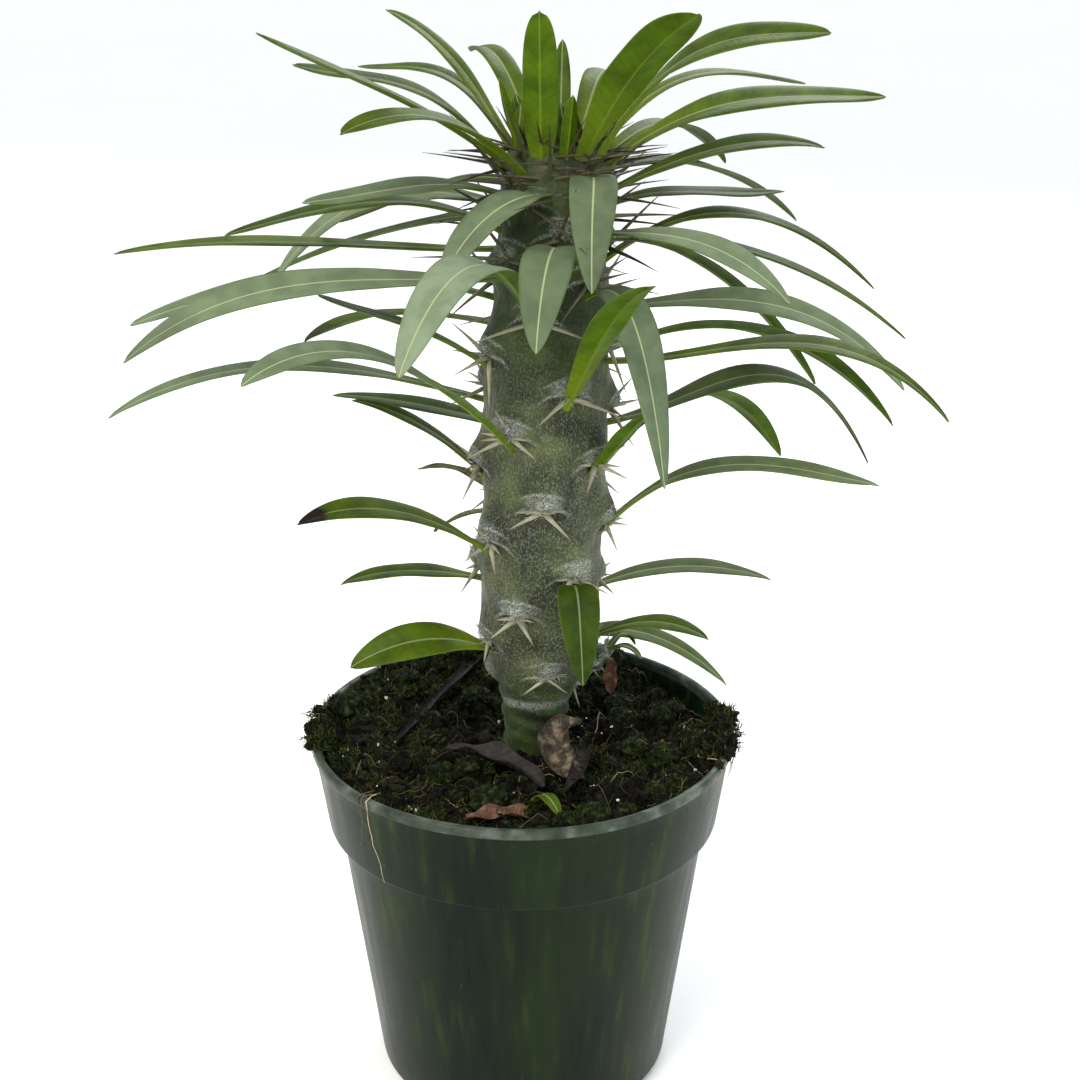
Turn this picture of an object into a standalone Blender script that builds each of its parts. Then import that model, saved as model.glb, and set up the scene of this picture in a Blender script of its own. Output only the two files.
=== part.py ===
"""Potted pachypodium: a nursery pot of peat with one spiny stem and the leaves that grow from it.

Metres, +Z up.  The origin is the centre of the pot's foot, and the plant's front looks along -Y.
Azimuths are in degrees round the stem: 0 is the front (-Y) and 90 is +X.  Every leaf grows from a
node of the stem, and the nodes climb in a golden-angle spiral, so a leaf is given by its node and
by how far and how high it reaches from there.
"""
import math

import bmesh
import bpy
from mathutils import Matrix, Vector

MM = 0.001

# ---- pot -------------------------------------------------------------------------------------
POT_HEIGHT = 95.0 * MM
RIM_RADIUS = 54.0 * MM          # outside of the rolled lip
LIP_HEIGHT = 2.5 * MM
LIP_OVERHANG = 0.8 * MM         # how far the lip stands out from the collar
COLLAR_HEIGHT = 20.7 * MM
COLLAR_TAPER = 2.8 * MM         # how much narrower the collar is at its lower edge
COLLAR_STEP = 2.9 * MM          # the ledge under the collar
BASE_RADIUS = 38.5 * MM
WALL = 1.2 * MM
FLOOR = 1.8 * MM
FOOT_BEVEL = 1.5 * MM
DRAIN_HOLES = 6
DRAIN_RADIUS = 4.0 * MM
DRAIN_INSET = 8.0 * MM          # from the foot's edge to a hole's centre
POT_STEPS = 48

# ---- soil ------------------------------------------------------------------------------------
SOIL_BELOW_RIM = 3.5 * MM       # at the middle of the mound
SOIL_CROWN = 3.5 * MM           # how much lower the soil lies at the wall
SOIL_RINGS = 5

# ---- stem ------------------------------------------------------------------------------------
STEM_HEIGHT = 150.5 * MM        # from the soil to the growing tip
STEM_LEAN = 1.9                 # degrees toward +X
STEM_OFFSET = 3.0 * MM          # the foot stands a little to the right of the pot's centre
STEM_STEPS = 24
ROOT_DEPTH = 20.0 * MM
ROOT_RADIUS = 4.0 * MM
FOOT_RADIUS = 7.3 * MM
NECK_RADIUS = 11.5 * MM         # where the stem starts to swell
BELLY_RADIUS = 14.6 * MM
SHOULDER_RADIUS = 12.4 * MM     # where the crown's leaves begin
CROWN_RADIUS = 10.7 * MM
NECK_HEIGHT = 24.0 * MM
BELLY_HEIGHT = 40.0 * MM
CROWN_DEPTH = 43.0 * MM         # the length of stem below the tip that the crowded leaves take

# ---- nodes and spines ------------------------------------------------------------------------
GOLDEN_ANGLE = 137.5
FIRST_NODE_ANGLE = -41.0        # azimuth of node 0
FIRST_NODE_HEIGHT = 10.8 * MM   # of node 0 over the stem's foot
LAST_OLD_NODE = 28              # above it the nodes crowd together
TIP_CLEAR = 2.0 * MM            # the spiral closes this far under the tip
CROWDING = 0.084                # share of the way to the tip that each crown node climbs
TUBERCLE_RADIUS = 2.6 * MM
TUBERCLE_HEIGHT = 1.2 * MM
TUBERCLE_SIDES = 6
SPINED_NODES = range(1, 29)
SPINE_RADIUS = 0.55 * MM
SPINE_SIDES = 4
SPINE_SHORT = 6.5 * MM          # at the lowest spined node
SPINE_LONG = 13.0 * MM          # at the highest
SPINE_SPREAD = 74.0             # degrees that the side spines turn away from straight out
SPINE_DROOP = 17.0              # degrees that they point down
PUP_ANGLE = 100.0
PUP_HEIGHT = 18.0 * MM
PUP_RADIUS = 3.2 * MM

# ---- leaves ----------------------------------------------------------------------------------
LEAF_THICKNESS = 0.7 * MM
PETIOLE_WIDTH = 2.3 * MM
TIP_WIDTH = 0.6 * MM
KEEL = 0.12                     # how far a blade folds up at its edges, as a share of its width
WIDEST_AT = 0.55                # share of the length at which a blade is widest
LEAF_DROP = 4.0 * MM            # a leaf sits this far under its node's spines
LEAF_ROOTING = 1.5 * MM         # a petiole starts this deep in the stem before it is trimmed
LEAF_SEGMENTS = 8
FIT_GAP = 0.3 * MM              # left between any two pieces that touch

# Each leaf: its node, the azimuth it points to, then in millimetres its reach, the heights over
# its foot of the curve's lower handle, upper handle and tip, and its width, and last the degrees
# that its blade turns to face the front.
LEAVES = [
    (4, 98, 46, 7, 4, -13, 7.0, 10),
    (5, -78, 37, 8, 7, 0, 9.0, 20),
    (6, 65, 34, 9, 13, 8, 7.0, 0),
    (9, 105, 51, 6, 5, -2, 8.0, 0),
    (10, -90, 37, 2, 4, -1, 8.0, -4),
    (11, 10, 17, 6, 4, -17, 10.0, 0),
    (12, -130, 40, 6, 6, -6, 4.0, 0),
    (13, -62, 50, 14, 22, 17, 9.0, 10),
    (14, 80, 67, 28, 20, 17, 9.0, 0),
    (15, -130, 30, 8, 8, 4, 3.0, 0),
    (17, 130, 76, 16, 28, -8, 9.0, -25),
    (18, -90, 32, 12, 18, 20, 6.0, 0),
    (19, 40, 20, 6, 16, 20, 7.0, -10),
    (20, -125, 66, 0, 4, 1, 8.0, 0),
    (21, -45, 75, 24, 41, 30, 11.0, 10),
    (22, 105, 73, 0, 29, -16, 10.0, 5),
    (23, -76, 91, 8, 20, 3, 9.0, -3),
    (24, 19, 48, 18, 34, 38, 9.0, 0),
    (25, 95, 83, 10, 20, -16, 10.0, -25),
    (26, -65, 42, 13, 15, 22, 7.0, 0),
    (27, 75, 80, 0, 20, -9, 9.0, 0),
    (28, -125, 71, 0, 3, -12, 9.0, -20),
    (29, -33, 52, 27, 27, 2, 12.0, 10),
    (30, 85, 75, 0, 11, -18, 11.0, 10),
    (31, -75, 84, 9, 8, -1, 10.0, 8),
    (32, 36, 30, 6, 10, -37, 10.5, 0),
    (33, 115, 78, 14, 2, -36, 8.0, -10),
    (34, -70, 88, 0, 10, -12, 11.0, 12),
    (35, 100, 68, 18, 13, -8, 9.0, 0),
    (36, -76, 91, 0, 3, 5, 9.0, -10),
    (37, -10, 30, 6, 6, -15, 11.5, 0),
    (38, 100, 84, 0, -4, -28, 8.0, 0),
    (39, -80, 63, 14, 7, 2, 9.0, 0),
    (40, 55, 50, 2, 4, -10, 9.0, 10),
    (41, -115, 82, 0, -8, -22, 8.0, 0),
    (43, 100, 46, 8, 2, 4, 8.0, 0),
    (44, -98, 58, 4, 8, -19, 11.0, 15),
    (46, 125, 76, 11, 8, -12, 9.0, 0),
    (47, -65, 50, 9, 3, 3, 9.0, 0),
    (48, 85, 51, 9, 16, 12, 8.0, 0),
    (49, -122, 56, 6, -6, -12, 8.0, 0),
    (50, -54, 29, 3, 0, -15, 10.0, 10),
    (52, -80, 48, 28, 22, 27, 8.0, 0),
    (53, 2, 26, 6, 8, -18, 10.5, 0),
    (54, 180, 66, 20, 18, 2, 9.0, 0),
    (55, -55, 47, 17, 20, 14, 8.0, 10),
    (56, 105, 72, 22, 17, 17, 9.0, -10),
    (57, -115, 42, 29, 22, 23, 7.0, 0),
    (59, 165, 52, 22, 26, 14, 8.0, 0),
    (60, -60, 60, 17, 22, 32, 7.0, 0),
    (61, 65, 53, 34, 31, 32, 9.0, -10),
    (63, -5, 10, 8, 18, 35, 7.0, 0),
    (64, 120, 63, 28, 20, 17, 6.0, 0),
    (66, 40, 36, 19, 30, 35, 11.0, 0),
]
YOUNG_FROM = 56                 # leaves from this node up are still bright and young
WITHERED_WIDTH = 4.0            # leaves this narrow have dried up on the stem

# Each fallen leaf lies along three points of the soil, given as shares of the soil's radius, then
# its width and how high it arches, both in millimetres.
FALLEN_LEAVES = {
    "fallen_leaf_long": ([(-0.36, -0.20), (-0.12, -0.36), (0.08, -0.52)], 8.0, 1.5),
    "fallen_leaf_curled": ([(0.26, -0.22), (0.30, -0.40), (0.22, -0.62)], 9.0, 5.0),
    "sprout_leaf": ([(0.06, -0.62), (0.13, -0.70), (0.16, -0.80)], 3.0, 3.0),
}

COLOURS = {
    "pot": ((0.032, 0.066, 0.038), 0.38),
    "soil": ((0.030, 0.022, 0.014), 0.95),
    "stem": ((0.120, 0.140, 0.085), 0.75),
    "leaf": ((0.085, 0.170, 0.055), 0.48),
    "young_leaf": ((0.160, 0.290, 0.040), 0.45),
    "withered": ((0.150, 0.120, 0.040), 0.80),
    "fallen": ((0.060, 0.030, 0.018), 0.85),
}


# ---- helpers ---------------------------------------------------------------------------------
def clear_scene():
    for old in list(bpy.data.objects):
        bpy.data.objects.remove(old, do_unlink=True)


def new_collection(name):
    collection = bpy.data.collections.new(name)
    bpy.context.scene.collection.children.link(collection)
    return collection


def new_object(name, mesh, collection):
    made = bpy.data.objects.new(name, mesh)
    collection.objects.link(made)
    return made


def give_material(made, finish):
    colour, roughness = COLOURS[finish]
    material = bpy.data.materials.new(made.name + "_" + finish)
    material.use_nodes = True
    shader = material.node_tree.nodes["Principled BSDF"]
    shader.inputs["Base Color"].default_value = (*colour, 1.0)
    shader.inputs["Roughness"].default_value = roughness
    shader.inputs["Metallic"].default_value = 0.0
    made.data.materials.append(material)


def mark_as_cutter(made):
    made.hide_render = True
    made.display_type = "WIRE"


def cutter(name, shape, placed, collection):
    """Turn a bmesh into a hidden cutter that stands in a frame of its own."""
    mesh = bpy.data.meshes.new(name)
    shape.to_mesh(mesh)
    shape.free()
    made = new_object(name, mesh, collection)
    made.matrix_world = placed
    mark_as_cutter(made)
    return made


def turned(name, profile, steps, collection):
    """Turn a profile of (radius, height) round Z; it runs from the axis, out and down, to the axis."""
    mesh = bpy.data.meshes.new(name)
    points = [(radius, 0.0, height) for radius, height in profile]
    mesh.from_pydata(points, [(i, i + 1) for i in range(len(points) - 1)], [])
    made = new_object(name, mesh, collection)
    screw = made.modifiers.new("turn", "SCREW")
    screw.steps = steps
    screw.render_steps = steps
    screw.use_merge_vertices = True
    screw.merge_threshold = 0.01 * MM
    screw.use_smooth_shade = True
    return made


def cut(made, cutter, operation="DIFFERENCE"):
    boolean = made.modifiers.new(operation.lower(), "BOOLEAN")
    boolean.operation = operation
    boolean.solver = "EXACT"
    boolean.object = cutter
    boolean.use_self = operation == "UNION"


def horizontal(azimuth):
    angle = math.radians(azimuth)
    return Vector((math.sin(angle), -math.cos(angle), 0.0))


def turn_between(start, end):
    """The signed turn in degrees from one azimuth to another, the short way round."""
    return (end - start + 180.0) % 360.0 - 180.0


# ---- pot -------------------------------------------------------------------------------------
COLLAR_TOP_RADIUS = RIM_RADIUS - LIP_OVERHANG
COLLAR_LOW_RADIUS = COLLAR_TOP_RADIUS - COLLAR_TAPER
BODY_TOP_RADIUS = COLLAR_LOW_RADIUS - COLLAR_STEP
LEDGE_HEIGHT = POT_HEIGHT - LIP_HEIGHT - COLLAR_HEIGHT


def pot_profile():
    lip_round = LIP_HEIGHT / 3
    return [
        (0.0, FLOOR),
        (BASE_RADIUS - WALL, FLOOR),
        (BODY_TOP_RADIUS - WALL, LEDGE_HEIGHT),
        (COLLAR_LOW_RADIUS - WALL, LEDGE_HEIGHT + WALL),
        (COLLAR_TOP_RADIUS - WALL, POT_HEIGHT - lip_round),
        (COLLAR_TOP_RADIUS - WALL + lip_round, POT_HEIGHT),
        (RIM_RADIUS - lip_round, POT_HEIGHT),
        (RIM_RADIUS, POT_HEIGHT - lip_round),
        (RIM_RADIUS, POT_HEIGHT - LIP_HEIGHT),
        (COLLAR_TOP_RADIUS, POT_HEIGHT - LIP_HEIGHT),
        (COLLAR_LOW_RADIUS, LEDGE_HEIGHT),
        (BODY_TOP_RADIUS, LEDGE_HEIGHT),
        (BASE_RADIUS, FOOT_BEVEL),
        (BASE_RADIUS - FOOT_BEVEL, 0.0),
        (0.0, 0.0),
    ]


def drain_cutter(collection):
    shape = bmesh.new()
    for number in range(DRAIN_HOLES):
        centre = (BASE_RADIUS - DRAIN_INSET) * horizontal(360.0 / DRAIN_HOLES * (number + 0.5))
        bmesh.ops.create_cone(
            shape, cap_ends=True, segments=12, radius1=DRAIN_RADIUS, radius2=DRAIN_RADIUS,
            depth=4 * FLOOR, matrix=Matrix.Translation(centre))
    return cutter("drain_cutter", shape, Matrix.Identity(4), collection)


def make_pot(parts, cutters):
    pot = turned("pot", pot_profile(), POT_STEPS, parts)
    cut(pot, drain_cutter(cutters))
    give_material(pot, "pot")


# ---- soil ------------------------------------------------------------------------------------
def collar_inside(height):
    """Inner radius of the pot's collar at a height."""
    share = (height - LEDGE_HEIGHT) / COLLAR_HEIGHT
    return COLLAR_LOW_RADIUS - WALL + share * COLLAR_TAPER


SOIL_TOP = POT_HEIGHT - SOIL_BELOW_RIM
SOIL_EDGE = SOIL_TOP - SOIL_CROWN
SOIL_RADIUS = collar_inside(SOIL_EDGE) - 2 * FIT_GAP


def soil_height(x, y):
    return SOIL_TOP - SOIL_CROWN * (x * x + y * y) / SOIL_RADIUS**2


def soil_profile():
    mound = [(SOIL_RADIUS * ring / SOIL_RINGS) for ring in range(SOIL_RINGS + 1)]
    return [(radius, soil_height(radius, 0.0)) for radius in mound] + [
        (COLLAR_LOW_RADIUS - WALL - FIT_GAP, LEDGE_HEIGHT + WALL + FIT_GAP),
        (BODY_TOP_RADIUS - WALL - FIT_GAP, LEDGE_HEIGHT + FIT_GAP),
        (BASE_RADIUS - WALL - FIT_GAP, FLOOR + FIT_GAP),
        (0.0, FLOOR + FIT_GAP),
    ]


def make_soil(parts, stem_room):
    soil = turned("soil", soil_profile(), POT_STEPS, parts)
    cut(soil, stem_room)
    give_material(soil, "soil")


# ---- stem ------------------------------------------------------------------------------------
STEM_FRAME = Matrix.Translation((STEM_OFFSET, 0.0, SOIL_TOP)) @ Matrix.Rotation(
    math.radians(STEM_LEAN), 4, "Y")
STEM_OUTLINE = [
    (0.0, FOOT_RADIUS),
    (NECK_HEIGHT / 2, (2 * FOOT_RADIUS + NECK_RADIUS) / 3),
    (NECK_HEIGHT, NECK_RADIUS),
    (BELLY_HEIGHT, BELLY_RADIUS),
    (STEM_HEIGHT - 1.25 * CROWN_DEPTH, BELLY_RADIUS),
    (STEM_HEIGHT - CROWN_DEPTH, (BELLY_RADIUS + SHOULDER_RADIUS) / 2),
    (STEM_HEIGHT - CROWN_DEPTH * 0.6, SHOULDER_RADIUS),
    (STEM_HEIGHT - CROWN_DEPTH * 0.3, CROWN_RADIUS),
]


def stem_radius(height):
    """Radius of the stem at a height over its foot, below the dome."""
    lower = STEM_OUTLINE[0]
    for upper in STEM_OUTLINE[1:]:
        if height <= upper[0]:
            share = max(0.0, (height - lower[0]) / (upper[0] - lower[0]))
            return lower[1] + share * (upper[1] - lower[1])
        lower = upper
    dome = (height - lower[0]) / (STEM_HEIGHT - lower[0])
    return CROWN_RADIUS * math.sqrt(max(0.0, 1.0 - dome * dome))


def stem_profile(room):
    """The stem's profile from its tip down to its root, grown outward by some room."""
    dome_foot = STEM_OUTLINE[-1][0]
    dome = []
    for step in range(5):
        angle = math.radians(90.0 - 18.0 * step)
        dome.append((
            (CROWN_RADIUS + room) * math.cos(angle),
            dome_foot + (STEM_HEIGHT - dome_foot + room) * math.sin(angle)))
    dome[0] = (0.0, STEM_HEIGHT + room)
    sides = [(radius + room, height) for height, radius in reversed(STEM_OUTLINE)]
    root = [
        ((FOOT_RADIUS + ROOT_RADIUS) / 2 + room, -ROOT_DEPTH / 2),
        (ROOT_RADIUS + room, -ROOT_DEPTH - room),
        (0.0, -ROOT_DEPTH - room),
    ]
    return dome + sides + root


def node_azimuth(node):
    return FIRST_NODE_ANGLE + GOLDEN_ANGLE * node


def node_height(node):
    old_top = STEM_HEIGHT - CROWN_DEPTH
    if node <= LAST_OLD_NODE:
        return FIRST_NODE_HEIGHT + (old_top - FIRST_NODE_HEIGHT) * node / LAST_OLD_NODE
    climb = math.exp(-CROWDING * (node - LAST_OLD_NODE))
    return STEM_HEIGHT - TIP_CLEAR - (CROWN_DEPTH - TIP_CLEAR) * climb


def on_stem(azimuth, height, outward=0.0):
    """A point of the stem's surface in the stem's own frame."""
    return (stem_radius(height) + outward) * horizontal(azimuth) + Vector((0.0, 0.0, height))


def pointing(place, direction):
    """A matrix that stands +Z along a direction at a place."""
    return Matrix.Translation(place) @ direction.to_track_quat("Z", "Y").to_matrix().to_4x4()


def add_cone(shape, foot, direction, radius, length, sides):
    middle = foot + direction.normalized() * (length / 2)
    bmesh.ops.create_cone(
        shape, cap_ends=True, segments=sides, radius1=radius, radius2=radius / 8, depth=length,
        matrix=pointing(middle, direction))


def add_tubercle(shape, node, room=0.0):
    azimuth = node_azimuth(node)
    foot = on_stem(azimuth, node_height(node), -TUBERCLE_HEIGHT)
    add_cone(
        shape, foot, horizontal(azimuth), TUBERCLE_RADIUS + room, 2 * TUBERCLE_HEIGHT + room,
        TUBERCLE_SIDES)


def add_spines(shape, node):
    azimuth = node_azimuth(node)
    foot = on_stem(azimuth, node_height(node), -TUBERCLE_HEIGHT)
    share = (node - SPINED_NODES[0]) / (SPINED_NODES[-1] - SPINED_NODES[0])
    length = SPINE_SHORT + share * (SPINE_LONG - SPINE_SHORT)
    droop = Vector((0.0, 0.0, math.tan(math.radians(SPINE_DROOP))))
    for side in (-1, 1):
        direction = horizontal(azimuth + side * SPINE_SPREAD) - droop
        add_cone(shape, foot, direction, SPINE_RADIUS, length + 2 * TUBERCLE_HEIGHT, SPINE_SIDES)


def growth_cutter(collection):
    """Tubercles, spines and the little pup, all joined to the stem by one union."""
    shape = bmesh.new()
    for node in SPINED_NODES:
        add_tubercle(shape, node)
        add_spines(shape, node)
    pup = on_stem(PUP_ANGLE, PUP_HEIGHT, PUP_RADIUS / 2)
    bmesh.ops.create_icosphere(
        shape, subdivisions=2, radius=PUP_RADIUS, matrix=Matrix.Translation(pup))
    return cutter("growth_cutter", shape, STEM_FRAME, collection)


def tubercle_room(collection):
    """The tubercles again, grown by the gap that the leaves keep from them."""
    shape = bmesh.new()
    for node in SPINED_NODES:
        add_tubercle(shape, node, FIT_GAP)
    return cutter("tubercle_room", shape, STEM_FRAME, collection)


def make_stem(parts, cutters):
    """The stem, and the solid that clears room for it in whatever touches it."""
    stem = turned("stem", stem_profile(0.0), STEM_STEPS, parts)
    stem.matrix_world = STEM_FRAME
    cut(stem, growth_cutter(cutters), "UNION")
    give_material(stem, "stem")
    room = turned("stem_room", stem_profile(FIT_GAP), STEM_STEPS, cutters)
    room.matrix_world = STEM_FRAME
    cut(room, tubercle_room(cutters), "UNION")
    mark_as_cutter(room)
    return room


# ---- leaves ----------------------------------------------------------------------------------
def blade_width(share, widest):
    """Width along a leaf: a slim petiole, a long lance-shaped blade and a pointed tip."""
    if share < WIDEST_AT:
        swell = math.sin(math.pi / 2 * share / WIDEST_AT) ** 1.6
        return PETIOLE_WIDTH + (widest - PETIOLE_WIDTH) * swell
    fade = math.cos(math.pi / 2 * (share - WIDEST_AT) / (1.0 - WIDEST_AT)) ** 0.8
    return TIP_WIDTH + (widest - TIP_WIDTH) * fade


def bezier(points, share):
    rest = 1.0 - share
    weights = (rest**3, 3 * rest**2 * share, 3 * rest * share**2, share**3)
    return sum((weight * point for weight, point in zip(weights, points)), Vector())


def bezier_way(points, share):
    rest = 1.0 - share
    weights = (rest**2, 2 * rest * share, share**2)
    steps = [points[i + 1] - points[i] for i in range(3)]
    return sum((weight * step for weight, step in zip(weights, steps)), Vector()).normalized()


def blade_sheet(shape, points, widest, roll):
    """Lay a grid along a curve, as wide as the blade, keeled, and rolled about its midrib."""
    grid = bmesh.ops.create_grid(shape, x_segments=LEAF_SEGMENTS, y_segments=2, size=0.5)
    chord = points[3] - points[0]
    flat = Vector((chord.x, chord.y, 0.0)).normalized()
    level = flat.cross(Vector((0.0, 0.0, 1.0)))
    for vertex in grid["verts"]:
        share = vertex.co.x + 0.5
        across = 2.0 * vertex.co.y
        way = bezier_way(points, share)
        side = (level - level.dot(way) * way).normalized()
        upper = side.cross(way)
        turned_by = roll * min(1.0, 2.5 * share)
        lean = math.cos(turned_by) * side - math.sin(turned_by) * upper
        face = math.cos(turned_by) * upper + math.sin(turned_by) * side
        width = blade_width(share, widest)
        vertex.co = (
            bezier(points, share) + across * width / 2 * lean + abs(across) * KEEL * width * face)


def finish_blade(name, shape, finish, parts, stem_room=None):
    mesh = bpy.data.meshes.new(name)
    shape.to_mesh(mesh)
    shape.free()
    mesh.shade_smooth()
    made = new_object(name, mesh, parts)
    thicken = made.modifiers.new("thickness", "SOLIDIFY")
    thicken.thickness = LEAF_THICKNESS
    thicken.offset = 0.0
    if stem_room:
        cut(made, stem_room)
    give_material(made, finish)


def grown_leaf(shape, node, heading, reach, lift, carry, tip, width, front_turn):
    """Add the sheet of a leaf that springs straight out of its node and bends to its heading."""
    azimuth = node_azimuth(node)
    height = node_height(node) - LEAF_DROP
    foot = STEM_FRAME @ on_stem(azimuth, height, -LEAF_ROOTING)
    first_way = horizontal(heading - turn_between(azimuth, heading) / 2)
    last_way = horizontal(heading)
    rise = [Vector((0.0, 0.0, level * MM)) for level in (lift, carry, tip)]
    points = [
        foot,
        foot + reach * MM / 3 * first_way + rise[0],
        foot + reach * MM * 2 / 3 * last_way + rise[1],
        foot + reach * MM * last_way + rise[2],
    ]
    roll = math.radians(front_turn) * math.sin(math.radians(heading))
    blade_sheet(shape, points, width * MM, roll)


def make_leaves(parts, stem_room):
    for leaf in LEAVES:
        node, width = leaf[0], leaf[6]
        finish = "young_leaf" if node >= YOUNG_FROM else "leaf"
        if width <= WITHERED_WIDTH:
            finish = "withered"
        shape = bmesh.new()
        grown_leaf(shape, *leaf)
        finish_blade("leaf_%02d" % node, shape, finish, parts, stem_room)


def make_fallen_leaves(parts):
    for name, (path, width, arch) in FALLEN_LEAVES.items():
        resting = FIT_GAP + LEAF_THICKNESS / 2
        points = []
        for x, y in path:
            place = SOIL_RADIUS * Vector((x, y, 0.0))
            points.append(place + Vector((0.0, 0.0, soil_height(place.x, place.y) + resting)))
        start, middle, end = points
        middle.z += 2 * arch * MM
        handles = [start, (start + 2 * middle) / 3, (end + 2 * middle) / 3, end]
        shape = bmesh.new()
        blade_sheet(shape, handles, width * MM, 0.0)
        finish_blade(name, shape, "young_leaf" if name == "sprout_leaf" else "fallen", parts)


def main():
    clear_scene()
    parts = new_collection("potted_pachypodium")
    cutters = new_collection("cutters")
    make_pot(parts, cutters)
    stem_room = make_stem(parts, cutters)
    make_soil(parts, stem_room)
    make_leaves(parts, stem_room)
    make_fallen_leaves(parts)
    bpy.context.view_layer.update()


main()
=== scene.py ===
# %% [markdown]
# # A potted pachypodium
#
# A pachypodium is a succulent with a fat, spiny stem and a crown of narrow leaves.  This lesson
# dresses a plain CAD model of one: the pot, the soil, the stem and every leaf stand where the CAD
# part put them, and each is rebuilt here as a finer mesh with a material of its own.
#
# Everything is in metres, +Z is up, and the plant's front looks along -Y.  Azimuths are in degrees
# round the stem, with 0 at the front and 90 at +X.

# %% Load the frame
import math

import bmesh
import bpy
import numpy as np
from mathutils import Matrix, Vector, noise


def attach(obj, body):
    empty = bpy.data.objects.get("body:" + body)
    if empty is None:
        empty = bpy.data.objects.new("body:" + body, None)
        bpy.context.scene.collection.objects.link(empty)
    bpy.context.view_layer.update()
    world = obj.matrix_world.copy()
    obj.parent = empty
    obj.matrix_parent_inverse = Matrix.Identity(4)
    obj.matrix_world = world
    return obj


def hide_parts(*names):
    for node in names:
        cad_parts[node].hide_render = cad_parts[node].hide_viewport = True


MM = 0.001
UP = np.array((0.0, 0.0, 1.0))
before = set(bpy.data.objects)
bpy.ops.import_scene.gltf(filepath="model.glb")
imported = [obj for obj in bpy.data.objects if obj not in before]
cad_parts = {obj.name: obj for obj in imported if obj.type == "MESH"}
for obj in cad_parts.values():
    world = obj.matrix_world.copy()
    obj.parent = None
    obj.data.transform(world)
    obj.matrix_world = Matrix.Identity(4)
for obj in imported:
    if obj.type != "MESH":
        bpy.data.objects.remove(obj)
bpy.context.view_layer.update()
print("nodes in the frame:", len(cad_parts))

# %% [markdown]
# ## Small tools
#
# Artists give colours as sRGB hex codes, while a renderer mixes light in linear values, so one
# function turns the first into the second.  Another adds a shader node with its settings and its
# links in one line, which keeps a material short enough to read as a recipe.

# %% Colour and node helpers
def srgb(code):
    """Linear colour of a hex code such as '#5c6b4a'."""
    parts = [int(code[place:place + 2], 16) / 255 for place in (1, 3, 5)]
    return (*[v / 12.92 if v <= 0.04045 else ((v + 0.055) / 1.055) ** 2.4 for v in parts], 1.0)


def add(tree, kind, inputs=None, stops=None, out=0, **settings):
    """Add a shader node and give its output: inputs by name or number, each a value or a link."""
    node = tree.nodes.new("ShaderNode" + kind)
    for name, value in settings.items():
        setattr(node, name, value)
    for place, (position, colour) in enumerate(stops or []):
        if place > 1:
            node.color_ramp.elements.new(position)
        node.color_ramp.elements[place].position = position
        node.color_ramp.elements[place].color = colour
    for key, value in (inputs or {}).items():
        if isinstance(value, bpy.types.NodeSocket):
            tree.links.new(value, node.inputs[key])
        else:
            node.inputs[key].default_value = value
    return node if out is None else node.outputs[out]


def finish(name, roughness, ior, **sockets):
    """A material with its Principled shader: constants go straight on the shader's sockets."""
    made = bpy.data.materials.new(name)
    made.use_nodes = True
    shader = made.node_tree.nodes["Principled BSDF"]
    shader.inputs["Roughness"].default_value = roughness
    shader.inputs["IOR"].default_value = ior
    for key, value in sockets.items():
        shader.inputs[key.replace("_", " ")].default_value = value
    return made, made.node_tree, shader


def plug(tree, shader, **sockets):
    """Link outputs to the shader's sockets, named with _ for a space."""
    for key, value in sockets.items():
        tree.links.new(value, shader.inputs[key.replace("_", " ")])


def per_mm(*sizes):
    """The scale along each axis of a pattern whose features have these sizes in millimetres."""
    return tuple(1 / (size * MM) for size in sizes)


MIX_COLOUR = {"data_type": "RGBA", "out": 2}          # a colour mix takes inputs 0, 6 and 7
print("a mid green is", [round(v, 3) for v in srgb("#5c6b4a")])

# %% [markdown]
# ## Meshes from rings
#
# Stems, spines, hairs, roots, leaves and even the pot are all the same kind of shape: a row of
# closed rings with a point at each end.  One function skins any number of them at once with numpy,
# which is far faster than adding faces one by one.

# %% Mesh helpers
def skin(rings, starts, ends):
    """Vertices and faces over rings of shape (pieces, rings, points, 3), closed to a point at both ends."""
    count, along, around, _ = rings.shape
    row = np.arange(along - 1)[:, None] * around
    here = np.arange(around)[None, :]
    after = (here + 1) % around
    sides = np.stack([row + here, row + after, row + around + after, row + around + here], -1)
    last = (along - 1) * around
    first_point = np.full(around, along * around)
    fans = np.concatenate([
        np.stack([after[0], here[0], first_point], -1),
        np.stack([last + here[0], last + after[0], first_point + 1], -1)])
    shift = (np.arange(count) * (along * around + 2))[:, None, None]
    vertices = np.concatenate(
        [rings.reshape(count, -1, 3), starts[:, None], ends[:, None]], 1).reshape(-1, 3)
    quads = (sides.reshape(1, -1, 4) + shift).reshape(-1, 4)
    return vertices, [quads, (fans[None] + shift).reshape(-1, 3)]


def tubes(paths, radii, sides):
    """Round tubes along paths of shape (pieces, points, 3), with a radius at every point."""
    way = np.gradient(paths, axis=1)
    way /= np.linalg.norm(way, axis=2, keepdims=True) + 1e-12
    away = np.eye(3)[np.abs(way[:, 0]).argmin(axis=1)][:, None]
    across = away - (away * way).sum(-1, keepdims=True) * way
    across /= np.linalg.norm(across, axis=2, keepdims=True)
    other = np.cross(way, across)
    angle = np.linspace(0, 2 * np.pi, sides, endpoint=False)[:, None]
    ring = np.cos(angle) * across[:, :, None] + np.sin(angle) * other[:, :, None]
    rings = paths[:, :, None] + radii[:, :, None, None] * ring
    return skin(rings, paths[:, 0] - way[:, 0] * radii[:, :1] * 0.4,
                paths[:, -1] + way[:, -1] * radii[:, -1:] * 0.4)


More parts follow.
